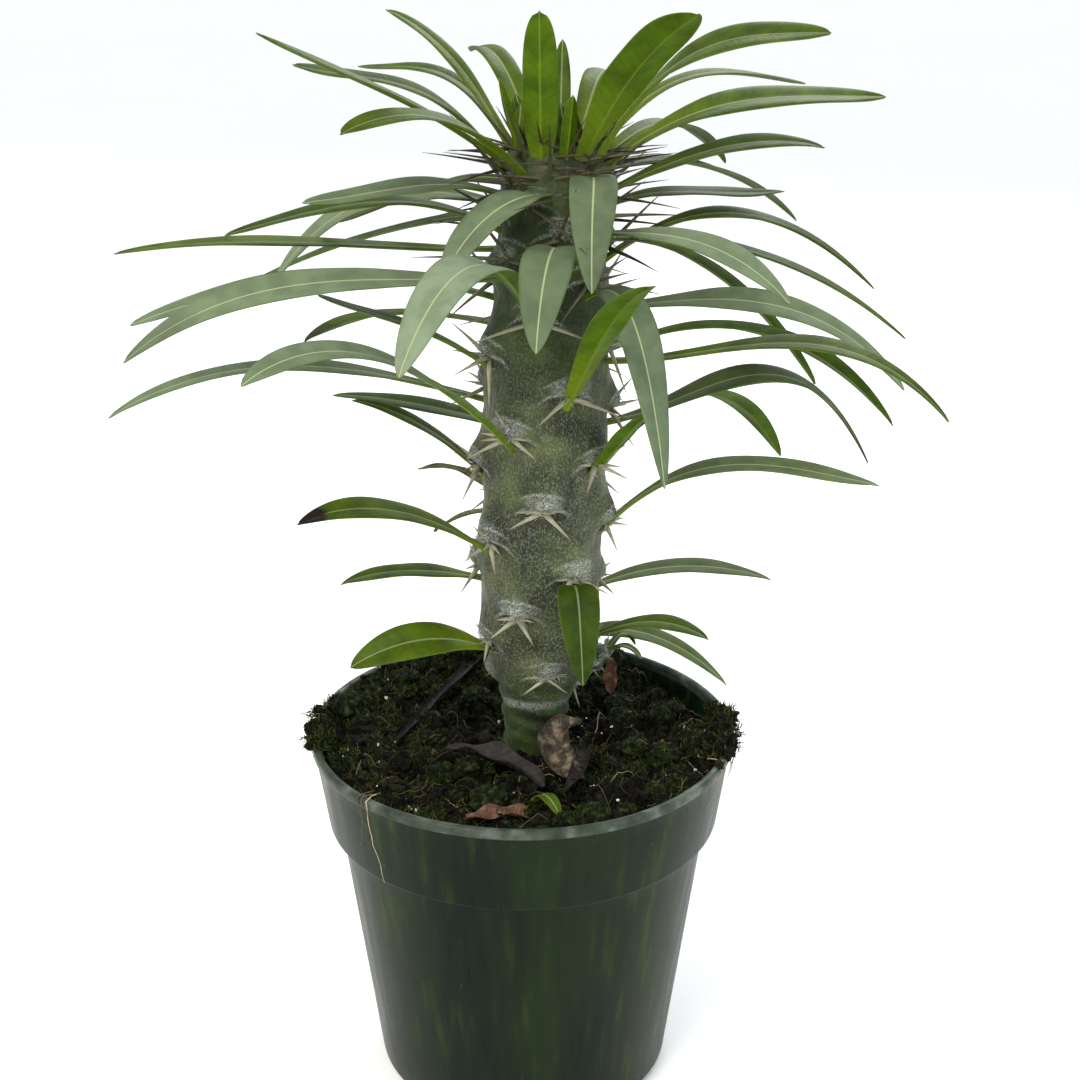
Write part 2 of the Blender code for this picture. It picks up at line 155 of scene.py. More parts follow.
def make_piece(name, vertices, faces, finishes, slot, replaces=(), smooth=True, finish_of=None,
               **numbers):
    """Make a mesh object that rides on the part; extra keywords are numbers kept at its vertices."""
    mesh = bpy.data.meshes.new(name)
    corners = np.concatenate([group.ravel() for group in faces])
    counts = np.concatenate([np.full(len(group), group.shape[1]) for group in faces])
    mesh.vertices.add(len(vertices))
    mesh.vertices.foreach_set("co", np.asarray(vertices, np.float32).ravel())
    mesh.loops.add(len(corners))
    mesh.loops.foreach_set("vertex_index", corners.astype(np.int32))
    mesh.polygons.add(len(counts))
    mesh.polygons.foreach_set("loop_start", (np.cumsum(counts) - counts).astype(np.int32))
    mesh.polygons.foreach_set("use_smooth", np.full(len(counts), smooth))
    for material in finishes:
        mesh.materials.append(material)
    if finish_of is not None:
        mesh.polygons.foreach_set("material_index", np.asarray(finish_of, np.int32))
    mesh.update(calc_edges=True)
    for key, values in numbers.items():
        layer = mesh.attributes.new(key, "FLOAT", "POINT")
        layer.data.foreach_set("value", np.asarray(values, np.float32))
    made = bpy.data.objects.new(name, mesh)
    bpy.context.scene.collection.objects.link(made)
    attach(made, "root")
    if replaces:
        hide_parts(*replaces)
    return made


def wander(places, spacing, seed):
    """Smooth chance values between about -1 and 1 that change over a spacing."""
    shift = Vector((seed * 17.3, seed * 5.1, seed * 9.7))
    return np.array([noise.noise(Vector(place) / spacing + shift) for place in places])


def horizontal(azimuth):
    """Unit vectors that point along azimuths, one or many."""
    angle = np.radians(azimuth)
    return np.stack([np.sin(angle), -np.cos(angle), np.zeros_like(angle)], -1)


def turn_between(start, end):
    """The signed turn in degrees from one azimuth to another, the short way round."""
    return (end - start + 180.0) % 360.0 - 180.0


def smoothstep(values):
    share = np.clip(values, 0.0, 1.0)
    return share * share * (3 - 2 * share)


# %% [markdown]
# ## The room, the light and the camera
#
# A plant like this is best shown in soft light from above, as under an overcast sky.  A pale floor
# that sweeps up on all sides acts as a big reflector, one large soft box above the left shoulder
# gives shape, and a weaker one on the right opens the shadows.  The camera stands a little above
# the crown and looks down by about twenty degrees.

# %% Floor, lights and camera
SWEEP = [(0.0, 0.0), (0.5, 0.0), (1.6, 0.0), (2.0, 0.03), (2.4, 0.14), (2.7, 0.36), (2.85, 0.7), (2.9, 1.4)]


def studio_floor():
    """A pale disc that curves up into a wall, turned round the pot."""
    mesh = bpy.data.meshes.new("floor")
    steps = 96
    circle = horizontal(np.arange(steps) * 360.0 / steps)
    rings = [circle * radius + np.array((0, 0, height)) for radius, height in SWEEP[1:]]
    vertices = np.concatenate([[(0.0, 0.0, 0.0)]] + rings)
    faces = [(0, 1 + i, 1 + (i + 1) % steps) for i in range(steps)]
    for ring in range(len(rings) - 1):
        low = 1 + ring * steps
        for i in range(steps):
            j = (i + 1) % steps
            faces.append((low + i, low + steps + i, low + steps + j, low + j))
    mesh.from_pydata(vertices.tolist(), [], faces)
    mesh.shade_smooth()
    made = bpy.data.objects.new("floor", mesh)
    bpy.context.scene.collection.objects.link(made)
    return made


def soft_box(name, place, target, size, power, colour):
    light = bpy.data.lights.new(name, "AREA")
    light.shape = "DISK"
    light.size = size
    light.energy = power
    light.color = srgb(colour)[:3]
    made = bpy.data.objects.new(name, light)
    bpy.context.scene.collection.objects.link(made)
    made.location = place
    made.rotation_euler = (Vector(target) - Vector(place)).to_track_quat("-Z", "Y").to_euler()
    return made


floor = studio_floor()
paper, paper_tree, paper_shader = finish("matt_paper_sweep", 0.9, 1.45)
speckle = add(paper_tree, "TexNoise", {"Scale": 40.0})
paper_tone = add(paper_tree, "Mix", {0: speckle, 6: srgb("#fbfbfa"), 7: srgb("#fefefd")}, **MIX_COLOUR)
plug(paper_tree, paper_shader, Base_Color=paper_tone)
floor.data.materials.append(paper)

world = bpy.data.worlds.new("overcast_sky")
bpy.context.scene.world = world
world.use_nodes = True
sky = world.node_tree.nodes["Background"]
sky.inputs["Color"].default_value = srgb("#f3f7fb")
sky.inputs["Strength"].default_value = 0.85

MIDDLE = (0.0, 0.0, 0.15)
soft_box("key_box", (-0.55, -0.75, 1.15), MIDDLE, 0.7, 13.0, "#fff8ee")
soft_box("fill_box", (0.95, -0.55, 0.55), MIDDLE, 0.7, 2.5, "#eef5ff")
soft_box("back_box", (0.35, 0.95, 0.95), MIDDLE, 0.7, 7.0, "#ffffff")

camera_data = bpy.data.cameras.new("camera")
camera_data.sensor_width = 36.0
camera_data.lens = 53.33
camera = bpy.data.objects.new("camera", camera_data)
bpy.context.scene.collection.objects.link(camera)
camera.location = (0.0, -0.3692, 0.2803)
camera.rotation_euler = (math.radians(90 - 20.12), 0.0, math.radians(-0.7))
bpy.context.scene.camera = camera
bpy.context.scene.view_settings.view_transform = "Standard"
bpy.context.scene.view_settings.exposure = 0.2
print("lights and camera are set")

# %% [markdown]
# ## The pot
#
# A round nursery pot is injection-moulded polypropylene: a thin wall, a deeper collar with a ledge
# under it, and a rolled lip.  A turned profile is the natural way to make it.  Each corner of the
# profile is rounded, because even thin plastic has a small radius that catches a line of light.

# %% Pot profile
POT_HEIGHT = 95.0 * MM
RIM_RADIUS = 54.0 * MM
LIP_HEIGHT = 2.5 * MM
LIP_OVERHANG = 0.8 * MM
COLLAR_HEIGHT = 20.7 * MM
COLLAR_TAPER = 2.8 * MM
COLLAR_STEP = 2.9 * MM
BASE_RADIUS = 38.5 * MM
WALL = 1.2 * MM
FLOOR = 1.8 * MM
FOOT_BEVEL = 1.5 * MM
DRAIN_HOLES = 6
DRAIN_RADIUS = 4.0 * MM
DRAIN_INSET = 8.0 * MM
POT_STEPS = 200
COLLAR_TOP = RIM_RADIUS - LIP_OVERHANG
COLLAR_LOW = COLLAR_TOP - COLLAR_TAPER
BODY_TOP = COLLAR_LOW - COLLAR_STEP
LEDGE = POT_HEIGHT - LIP_HEIGHT - COLLAR_HEIGHT


def rounded(corners, steps=4):
    """Round each (radius, height, bend) corner of a profile with a short curve."""
    points = [np.array(corner[:2]) for corner in corners]
    profile = [points[0]]
    for place in range(1, len(points) - 1):
        before, here, after = points[place - 1:place + 2]
        bend = corners[place][2]
        back, on = before - here, after - here
        start = here + back * min(0.45, bend / np.linalg.norm(back))
        end = here + on * min(0.45, bend / np.linalg.norm(on))
        for share in np.linspace(0.0, 1.0, steps):
            profile.append((1 - share) ** 2 * start + 2 * share * (1 - share) * here + share**2 * end)
    return profile + [points[-1]]


def wall_line(low, high, count):
    """Extra points along a straight wall, so that the plastic can be a little out of true."""
    return [(low[0] + (high[0] - low[0]) * i / count, low[1] + (high[1] - low[1]) * i / count, 0.2 * MM)
            for i in range(1, count)]


SOFT_BEND = 0.8 * MM
foot_edge = (BASE_RADIUS, FOOT_BEVEL)
body_edge = (BODY_TOP, LEDGE - 0.6 * MM)
POT_PROFILE = rounded([
    (0.0, 0.0, 0.0), (BASE_RADIUS - FOOT_BEVEL, 0.0, SOFT_BEND), (*foot_edge, SOFT_BEND),
    *wall_line(foot_edge, body_edge, 12),
    (*body_edge, SOFT_BEND), (COLLAR_LOW - 0.2 * MM, LEDGE, 0.9 * MM),
    (COLLAR_LOW, LEDGE + 0.8 * MM, SOFT_BEND),
    *wall_line((COLLAR_LOW, LEDGE + 0.8 * MM), (COLLAR_TOP, POT_HEIGHT - LIP_HEIGHT), 5),
    (COLLAR_TOP, POT_HEIGHT - LIP_HEIGHT, 0.35 * MM),
    (RIM_RADIUS, POT_HEIGHT - LIP_HEIGHT + 0.15 * MM, 0.5 * MM),
    (RIM_RADIUS, POT_HEIGHT, 1.0 * MM), (COLLAR_TOP - WALL, POT_HEIGHT, 0.9 * MM),
    (COLLAR_LOW - WALL, LEDGE + WALL, SOFT_BEND), (BODY_TOP - WALL, LEDGE, SOFT_BEND),
    (BASE_RADIUS - WALL, FLOOR, SOFT_BEND), (0.0, FLOOR, 0.0),
])
print("the pot's profile has", len(POT_PROFILE), "points")

# %% [markdown]
# Moulded polypropylene is a dense, dark green here, with a soft gloss.  The mould leaves faint
# vertical flow marks in its gloss and relief, painted paler as streaks of reflection at the left and
# right, and use adds pale dust specks, fine scratches and a greyer, scuffed lip.  Noise stretched
# along the height gives the streaks, and a Voronoi pattern gives the specks.

# %% Pot plastic
def pot_plastic():
    made, tree, shader = finish("moulded_polypropylene_dark_green", 0.38, 1.49, Specular_IOR_Level=0.09)
    place = add(tree, "TexCoord", out="Object")
    # flow marks and painted reflection streaks: about 3 mm wide round the pot and as tall as the pot
    flow_and_reflection_way = add(tree, "Mapping", {"Vector": place, "Scale": per_mm(3.2, 3.2, 300)})
    flow_and_reflection = add(tree, "TexNoise", {"Vector": flow_and_reflection_way, "Scale": 1.0, "Detail": 3.0, "Roughness": 0.5})
    broad_way = add(tree, "Mapping", {"Vector": place, "Scale": per_mm(22, 22, 160)})
    broad = add(tree, "TexNoise", {"Vector": broad_way, "Scale": 1.0, "Detail": 2.0})
    # painted reflection: the paler colours of these streaks stand for light reflected by the gloss
    reflection_streak_ramp = add(tree, "ValToRGB", {0: flow_and_reflection}, stops=[
        (0.32, srgb("#08110a")), (0.46, srgb("#0e1a0c")), (0.58, srgb("#1a290d")), (0.70, srgb("#3d4814"))])
    broad_ramp = add(tree, "ValToRGB", {0: broad}, stops=[
        (0.38, srgb("#0a150f")), (0.64, srgb("#16240f"))])
    # painted reflection: the pale streaks are strongest at the left and right, and the plain darker
    # green fills the middle
    height = add(tree, "SeparateXYZ", {0: place}, out=None)
    aside = add(tree, "Math", {0: height.outputs[0]}, operation="ABSOLUTE")
    plain = add(tree, "MapRange", {0: aside, 1: 15 * MM, 2: 42 * MM, 3: 0.8, 4: 0.4})
    green = add(tree, "Mix", {0: plain, 6: reflection_streak_ramp, 7: broad_ramp}, **MIX_COLOUR)
    # dust specks: cells 3 mm apart, each with a dot under 0.3 mm
    cells = add(tree, "TexVoronoi", {"Vector": place, "Scale": 1 / (3 * MM)}, out=None)
    dot = add(tree, "MapRange", {0: cells.outputs["Distance"], 1: 0.05, 2: 0.10, 3: 1.0, 4: 0.0})
    chance = add(tree, "SeparateColor", {0: cells.outputs["Color"]})
    few = add(tree, "Math", {0: chance, 1: 0.93}, operation="GREATER_THAN")
    specks = add(tree, "Math", {0: dot, 1: few}, operation="MULTIPLY")
    # scuffs: thin upright lines, 0.4 mm wide and up to 25 mm long
    scuff_way = add(tree, "Mapping", {"Vector": place, "Scale": per_mm(0.8, 0.8, 25)})
    scuff = add(tree, "TexNoise", {"Vector": scuff_way, "Scale": 1.0, "Detail": 1.0})
    lines = add(tree, "MapRange", {0: scuff, 1: 0.70, 2: 0.78, 3: 0.0, 4: 0.06})
    worn = add(tree, "Math", {0: specks, 1: lines}, operation="MAXIMUM")
    dusty = add(tree, "Mix", {0: worn, 6: green, 7: srgb("#5a6454")}, **MIX_COLOUR)
    # the lip: paler from handling and from dried soil
    lip = add(tree, "MapRange", {0: height.outputs[2], 1: POT_HEIGHT - LIP_HEIGHT - 0.1 * MM,
                                 2: POT_HEIGHT - LIP_HEIGHT + 0.5 * MM})
    grime_and_shade = add(tree, "TexNoise", {"Vector": place, "Scale": 1 / (6 * MM), "Detail": 5.0})
    lip_ramp = add(tree, "ValToRGB", {0: grime_and_shade}, stops=[
        (0.34, srgb("#29322a")), (0.52, srgb("#3f473c")), (0.72, srgb("#6b7268"))])
    colour = add(tree, "Mix", {0: lip, 6: dusty, 7: lip_ramp}, **MIX_COLOUR)
    gloss = add(tree, "MapRange", {0: flow_and_reflection, 1: 0.3, 2: 0.7, 3: 0.26, 4: 0.42})
    dull = add(tree, "Math", {0: gloss, 1: worn}, operation="ADD", use_clamp=True)
    bump = add(tree, "Bump", {"Height": flow_and_reflection, "Strength": 0.25, "Distance": 0.15 * MM})
    plug(tree, shader, Base_Color=colour, Roughness=dull, Normal=bump)
    return made


POT_PLASTIC = pot_plastic()

# %% The pot, turned and drilled
def turned_pot():
    profile = np.array(POT_PROFILE)
    azimuth = 360.0 * np.arange(POT_STEPS) / POT_STEPS
    spin = horizontal(azimuth)
    rings = profile[1:-1, 0][:, None, None] * spin[None] + profile[1:-1, 1][:, None, None] * UP
    # thin plastic is never quite round: a slow wave of a fifth of a millimetre
    wave = 0.2 * MM * np.sin(np.radians(2 * azimuth) + 1.0) + 0.1 * MM * np.sin(np.radians(5 * azimuth))
    rings += (profile[1:-1, 1] / POT_HEIGHT)[:, None, None] * wave[None, :, None] * spin[None]
    return skin(rings[None], np.array([[0, 0, profile[0, 1]]]), np.array([[0, 0, profile[-1, 1]]]))


def drilled(made):
    """Cut the drain holes through the pot's floor and keep the result as plain mesh."""
    shape = bmesh.new()
    for number in range(DRAIN_HOLES):
        centre = Vector(horizontal(360.0 / DRAIN_HOLES * (number + 0.5))) * (BASE_RADIUS - DRAIN_INSET)
        bmesh.ops.create_cone(shape, cap_ends=True, segments=32, radius1=DRAIN_RADIUS,
                              radius2=DRAIN_RADIUS, depth=4 * FLOOR, matrix=Matrix.Translation(centre))
    drill_mesh = bpy.data.meshes.new("drill")
    shape.to_mesh(drill_mesh)
    shape.free()
    drill = bpy.data.objects.new("drill", drill_mesh)
    bpy.context.scene.collection.objects.link(drill)
    cut = made.modifiers.new("drain_holes", "BOOLEAN")
    cut.operation = "DIFFERENCE"
    cut.object = drill
    graph = bpy.context.evaluated_depsgraph_get()
    holed = bpy.data.meshes.new_from_object(made.evaluated_get(graph))
    made.modifiers.clear()
    made.data = holed
    bpy.data.objects.remove(drill)


pot_vertices, pot_faces = turned_pot()
pot = make_piece("pot_shell", pot_vertices, pot_faces, [POT_PLASTIC], "pot_plastic", ["pot"])
drilled(pot)
print("pot:", len(pot.data.polygons), "faces")

# %% [markdown]
# ## The soil
#
# The pot is filled with peat that has been watered for a long time: dark clumps, a skin of moss,
# crumbs, bits of root and a few pale grains.  It is heaped against the rim on the left and right,
# and it has sunk at the right of the back, where the pot's inner wall shows.  A round grid with
# several sizes of noise gives the clumps; everything loose is then scattered on that surface, and
# the same height function seats it.

# %% Soil surface
SOIL_TOP = POT_HEIGHT - 3.5 * MM
SOIL_CROWN = 3.5 * MM
SOIL_RADIUS = COLLAR_LOW - WALL + COLLAR_TAPER * (SOIL_TOP - SOIL_CROWN - LEDGE) / COLLAR_HEIGHT - 0.6 * MM
# heaps along the wall: azimuth, height and half-width in degrees
HEAPS = [(-95, 7.0 * MM, 34), (84, 6.0 * MM, 26), (-35, 2.0 * MM, 30), (30, 2.5 * MM, 30),
         (-160, 8.5 * MM, 42), (163, 6.5 * MM, 22), (122, -1.5 * MM, 18)]
STEM_OFFSET = 3.0 * MM


def ground(places):
    """Height of the soil at flat places of shape (n, 2), and how mossy it is there."""
    flat = np.column_stack([places, np.zeros(len(places))])
    out = np.hypot(places[:, 0], places[:, 1]) / SOIL_RADIUS
    azimuth = np.degrees(np.arctan2(places[:, 0], -places[:, 1]))
    heap = sum(high * np.exp(-(turn_between(at, azimuth) / wide) ** 2) for at, high, wide in HEAPS)
    clods = 3.2 * wander(flat, 10 * MM, 1) + 2.9 * wander(flat, 4.2 * MM, 2)
    fine = 1.5 * np.abs(wander(flat, 1.9 * MM, 3)) + 0.5 * wander(flat, 0.8 * MM, 4)
    from_stem = (places[:, 0] - STEM_OFFSET) ** 2 + places[:, 1] ** 2
    near_stem = np.exp(-from_stem / (11 * MM) ** 2)
    height = SOIL_TOP - SOIL_CROWN * out**2 + heap * out**3
    height += (clods + fine) * MM * (1 - 0.6 * near_stem) - 0.8 * MM
    height -= 2.6 * MM * np.exp(-from_stem / (15 * MM) ** 2)
    moss = 0.55 + 0.9 * wander(flat, 13 * MM, 5) + 0.5 * wander(flat, 4 * MM, 6)
    moss += 0.45 * smoothstep((out - 0.55) / 0.4) + 0.5 * near_stem
    return height, np.clip(moss, 0.0, 1.0)


# %% [markdown]
# Wet peat is nearly black and rough, and only its crumbs catch light.  Moss turns it olive where it
# has taken hold, so the surface carries a number for moss and the material mixes by it.

# %% Peat and moss finishes
def peat():
    made, tree, shader = finish("wet_peat_with_moss", 0.85, 1.45, Specular_IOR_Level=0.12)
    place = add(tree, "TexCoord", out="Object")
    crumb = add(tree, "TexNoise", {"Vector": place, "Scale": 1 / (1.6 * MM), "Detail": 6.0,
                                   "Roughness": 0.65})
    grain = add(tree, "TexVoronoi", {"Vector": place, "Scale": 1 / (1.1 * MM)}, out="Distance")
    brown = add(tree, "ValToRGB", {0: crumb}, stops=[
        (0.34, srgb("#020201")), (0.52, srgb("#090805")), (0.70, srgb("#1f1a10"))])
    olive = add(tree, "ValToRGB", {0: crumb}, stops=[
        (0.32, srgb("#040602")), (0.50, srgb("#121909")), (0.70, srgb("#3b451d"))])
    moss = add(tree, "Attribute", out="Fac", attribute_name="moss")
    mixed = add(tree, "Mix", {0: moss, 6: brown, 7: olive}, **MIX_COLOUR)
    # a film of water makes small glossy spots about 2 mm across
    wet = add(tree, "TexNoise", {"Vector": place, "Scale": 1 / (2.2 * MM), "Detail": 2.0})
    gloss = add(tree, "MapRange", {0: wet, 1: 0.56, 2: 0.66, 3: 0.9, 4: 0.32})
    rough = add(tree, "Math", {0: crumb, 1: grain}, operation="ADD")
    bump = add(tree, "Bump", {"Height": rough, "Strength": 0.8, "Distance": 0.5 * MM})
    plug(tree, shader, Base_Color=mixed, Roughness=gloss, Normal=bump)
    return made


def plant_bits(name, dark, middle, pale, roughness):
    """Small dry or living bits: each bit has its own tone between three colours."""
    made, tree, shader = finish(name, roughness, 1.45, Specular_IOR_Level=0.12)
    place = add(tree, "TexCoord", out="Object")
    mottle = add(tree, "TexNoise", {"Vector": place, "Scale": 1 / (0.9 * MM), "Detail": 3.0})
    tone = add(tree, "Attribute", out="Fac", attribute_name="tone")
    mean = add(tree, "Mix", {0: 0.3, 2: tone, 3: mottle}, data_type="FLOAT")
    ramp = add(tree, "ValToRGB", {0: mean}, stops=[
        (0.15, srgb(dark)), (0.50, srgb(middle)), (0.85, srgb(pale))])
    bump = add(tree, "Bump", {"Height": mottle, "Strength": 0.5, "Distance": 0.2 * MM})
    plug(tree, shader, Base_Color=ramp, Normal=bump)
    return made


PEAT = peat()
CRUMB = plant_bits("peat_crumbs", "#030302", "#0c0a06", "#262014", 0.85)
MOSS = plant_bits("living_moss", "#080c03", "#1c250b", "#525c24", 0.75)
FIBRE = plant_bits("dry_root_fibre", "#1d160d", "#6a5b3f", "#c9bda0", 0.7)
# painted glints: pale grains that stand for the wet soil catching the light
GLINT_GRAIN = plant_bits("pale_glint_grain", "#8f8d84", "#c9c7bd", "#efeee8", 0.8)

# %% The soil mound
SOIL_RINGS, SOIL_STEPS = 150, 440


def soil_mound():
    """Rings from the middle out over the top, then down the wall to a floor inside the pot."""
    shares = np.linspace(0, 1, SOIL_RINGS + 1)[1:] ** 0.9
    circle = horizontal(-360.0 * np.arange(SOIL_STEPS) / SOIL_STEPS)
    places = (shares[:, None, None] * SOIL_RADIUS * circle[None, :, :2]).reshape(-1, 2)
    height, moss = ground(places)
    top = np.column_stack([places, height]).reshape(SOIL_RINGS, SOIL_STEPS, 3)
    skirts = []
    for drop in (3 * MM, 10 * MM):
        skirt = top[-1].copy()
        skirt[:, :2] *= 1.0 - drop / SOIL_RADIUS * 0.14
        skirt[:, 2] -= drop
        skirts.append(skirt)
    rings = np.concatenate([top, np.array(skirts)])[None]
    middle = np.array([[0.0, 0.0, ground(np.zeros((1, 2)))[0][0]]])
    vertices, faces = skin(rings, middle, np.array([[0.0, 0.0, SOIL_TOP - 14 * MM]]))
    moss = np.concatenate([moss, np.tile(moss[-SOIL_STEPS:], 2), [0.5, 0.0]])
    return vertices, faces, moss


soil_vertices, soil_faces, soil_moss = soil_mound()
make_piece("peat_surface", soil_vertices, soil_faces, [PEAT], "peat", ["soil"], moss=soil_moss)
print("soil: highest", round(soil_vertices[:, 2].max() / MM, 1), "mm, lowest edge",
      round(soil_vertices[:-2, 2].min() / MM, 1), "mm")

# %% [markdown]
# Loose crumbs, moss, fibres and grains are scattered with a seeded chance, so that every run gives
# the same pot.  A crumb is a small ball with its points pushed about; a moss tuft is a bunch of
# slim cones; a fibre is a tube that follows the ground.

# %% Scattering helpers
rng = np.random.default_rng(11)


def scattered(count, inner=0.10, outer=1.0):
    """Seeded places on the soil, evenly spread, as (n, 2)."""
    share = np.sqrt(rng.uniform(inner**2, outer**2, count))
    return share[:, None] * SOIL_RADIUS * horizontal(rng.uniform(-180, 180, count))[:, :2]


def balls(count, subdivisions):
    """The points of one ball of radius 1, and the faces of many such balls."""
    ball = bmesh.new()
    bmesh.ops.create_icosphere(ball, subdivisions=subdivisions, radius=1.0)
    points = np.array([v.co for v in ball.verts])
    corners = np.array([[v.index for v in f.verts] for f in ball.faces])
    ball.free()
    return points, [(corners[None] + (np.arange(count) * len(points))[:, None, None]).reshape(-1, 3)]


def lumps(centres, sizes, roughness=0.28):
    """Rough little stones, one at each centre."""
    count = len(centres)
    points, faces = balls(count, 2)
    shape = points[None] * rng.normal(1.0, roughness, (count, len(points), 1)).clip(0.4, 1.6)
    shape *= rng.uniform(0.6, 1.3, (count, 1, 3)) * sizes[:, None, None]
    return (centres[:, None] + shape).reshape(-1, 3), faces, len(points)


def seated(places, lift=0.0):
    """Places on the ground as points in space."""
    return np.column_stack([places, ground(places)[0] + lift])


def scatter_tubes(name, paths, radii, sides, material, slot, tone):
    vertices, faces = tubes(paths, radii, sides)
    per_tube = len(vertices) // len(paths)
    return make_piece(name, vertices, faces, [material], slot, tone=np.repeat(tone, per_tube))


# %% Crumbs and grains
crumb_places = scattered(1500)
crumb_sizes = rng.gamma(2.2, 0.33, len(crumb_places)).clip(0.3, 2.2) * MM
crumb_points, crumb_faces, per_crumb = lumps(seated(crumb_places, 0.1 * MM), crumb_sizes)
crumb_tone = np.repeat(rng.beta(1.6, 2.6, len(crumb_places)), per_crumb)
make_piece("peat_crumbs", crumb_points, crumb_faces, [CRUMB], "peat", smooth=False, tone=crumb_tone)

# painted glints: these small pale grains stand in for light caught by the wet soil
grain_places = scattered(70, 0.15, 0.95)
grain_sizes = rng.uniform(0.15, 0.42, len(grain_places)) * MM
grain_points, grain_faces, per_grain = lumps(seated(grain_places, 0.6 * MM), grain_sizes, 0.2)
grain_tone = np.repeat(rng.uniform(0.2, 1.0, len(grain_places)), per_grain)
make_piece("pale_glint_grains", grain_points, grain_faces, [GLINT_GRAIN], "peat", smooth=False, tone=grain_tone)
print("crumbs:", len(crumb_places), "grains:", len(grain_places))

# %% Mossy cushions
CUSHIONS = 64
CUSHION_PRESS = np.array((1.0, 1.0, 0.72))          # they are pressed flat
SPRIGS_ON_CUSHION = 26


def moss_cushions():
    """Low, lumpy balls of old moss, pressed flat, with the places of their tops."""
    places = scattered(CUSHIONS, 0.36, 0.94)
    sizes = rng.uniform(2.2, 4.6, CUSHIONS) * MM
    centres = seated(places, 0.2 * MM)
    points, faces = balls(CUSHIONS, 4)
    shape = points[None] * sizes[:, None, None] * CUSHION_PRESS
    vertices = (centres[:, None] + shape).reshape(-1, 3)
    bumps = 0.32 * wander(vertices, 1.5 * MM, 14) + 0.16 * wander(vertices, 0.6 * MM, 15)
    vertices += (shape * bumps.reshape(CUSHIONS, -1, 1)).reshape(-1, 3)
    return vertices, faces, centres, sizes


cushion_points, cushion_faces, cushion_centres, cushion_sizes = moss_cushions()
make_piece("moss_cushions", cushion_points, cushion_faces, [PEAT], "peat",
           moss=np.repeat(rng.uniform(0.75, 1.0, CUSHIONS), len(cushion_points) // CUSHIONS))

# %% Moss tufts
def moss_tufts(centres, sprigs, length, spread):
    """Bunches of slim cones: paths, radii and tones."""
    roots = np.repeat(centres, sprigs, axis=0)
    roots += rng.normal(0, spread, roots.shape) * np.array((1, 1, 0.25))
    way = rng.normal(0, 0.8, roots.shape) + np.array((0, 0, 0.8))
    way /= np.linalg.norm(way, axis=1, keepdims=True)
    reach = rng.uniform(0.5, 1.2, (len(roots), 1)) * length
    bend = rng.normal(0, 0.25, roots.shape) * reach
    paths = np.stack([roots, roots + way * reach * 0.5, roots + way * reach + bend], 1)
    radii = np.array([[0.16, 0.13, 0.04]]) * MM * rng.uniform(0.7, 1.3, (len(roots), 1))
    return paths, radii, np.repeat(rng.beta(2, 2.2, len(centres)), sprigs) * rng.uniform(0.7, 1.3, len(roots))


tuft_places = scattered(4200, 0.14)
tuft_moss = ground(tuft_places)[1]
tuft_places = tuft_places[tuft_moss > rng.uniform(0.25, 1.05, len(tuft_places))][:1200]
tuft_paths, tuft_radii, tuft_tone = moss_tufts(seated(tuft_places), 8, 1.5 * MM, 0.9 * MM)
on_cushions = np.repeat(np.arange(CUSHIONS), SPRIGS_ON_CUSHION)
outward = rng.normal(0, 1, (len(on_cushions), 3)) + np.array((0, 0, 0.6))
outward /= np.linalg.norm(outward, axis=1, keepdims=True)
outward *= CUSHION_PRESS
sprig_centres = cushion_centres[on_cushions] + outward * cushion_sizes[on_cushions, None] * 0.95
more_paths, more_radii, more_tone = moss_tufts(sprig_centres, 3, 1.3 * MM, 0.3 * MM)
scatter_tubes("cushion_moss", more_paths, more_radii, 3, MOSS, "peat", more_tone)
scatter_tubes("moss_tufts", tuft_paths, tuft_radii, 3, MOSS, "peat", tuft_tone)
print("moss:", len(tuft_paths) + len(more_paths), "sprigs")

# %% Moss and crumbs that lie over the rim
RIM_HEAPS = [(-92, 15), (-80, 9), (83, 12), (74, 9), (93, 7)]      # azimuth and half-width in degrees


def over_rim(count):
    """Chance places on the lip, near the rim's heaps."""
    middle, half_width = np.array(RIM_HEAPS, float)[rng.integers(0, len(RIM_HEAPS), count)].T
    azimuth = middle + rng.normal(0, 0.45, count) * half_width
    radius = RIM_RADIUS - rng.uniform(-0.4, 5.0, count) * MM
    inside = smoothstep((RIM_RADIUS - radius) / (3 * MM) + 0.4)
    height = POT_HEIGHT + rng.uniform(-0.8, 1.6, count) * MM * inside
    return radius[:, None] * horizontal(azimuth) + height[:, None] * UP


RIM_CRUMBS = 130
rim_crumb_centres = over_rim(RIM_CRUMBS)
rim_points, rim_faces, per_rim = lumps(rim_crumb_centres, rng.uniform(0.4, 1.5, RIM_CRUMBS) * MM, 0.3)
make_piece("rim_crumbs", rim_points, rim_faces, [CRUMB], "peat", smooth=False,
           tone=np.repeat(rng.beta(2, 2.4, RIM_CRUMBS), per_rim))
rim_paths, rim_radii, rim_tone = moss_tufts(over_rim(190), 9, 2.2 * MM, 0.8 * MM)
scatter_tubes("rim_moss", rim_paths, rim_radii, 3, MOSS, "peat", rim_tone)

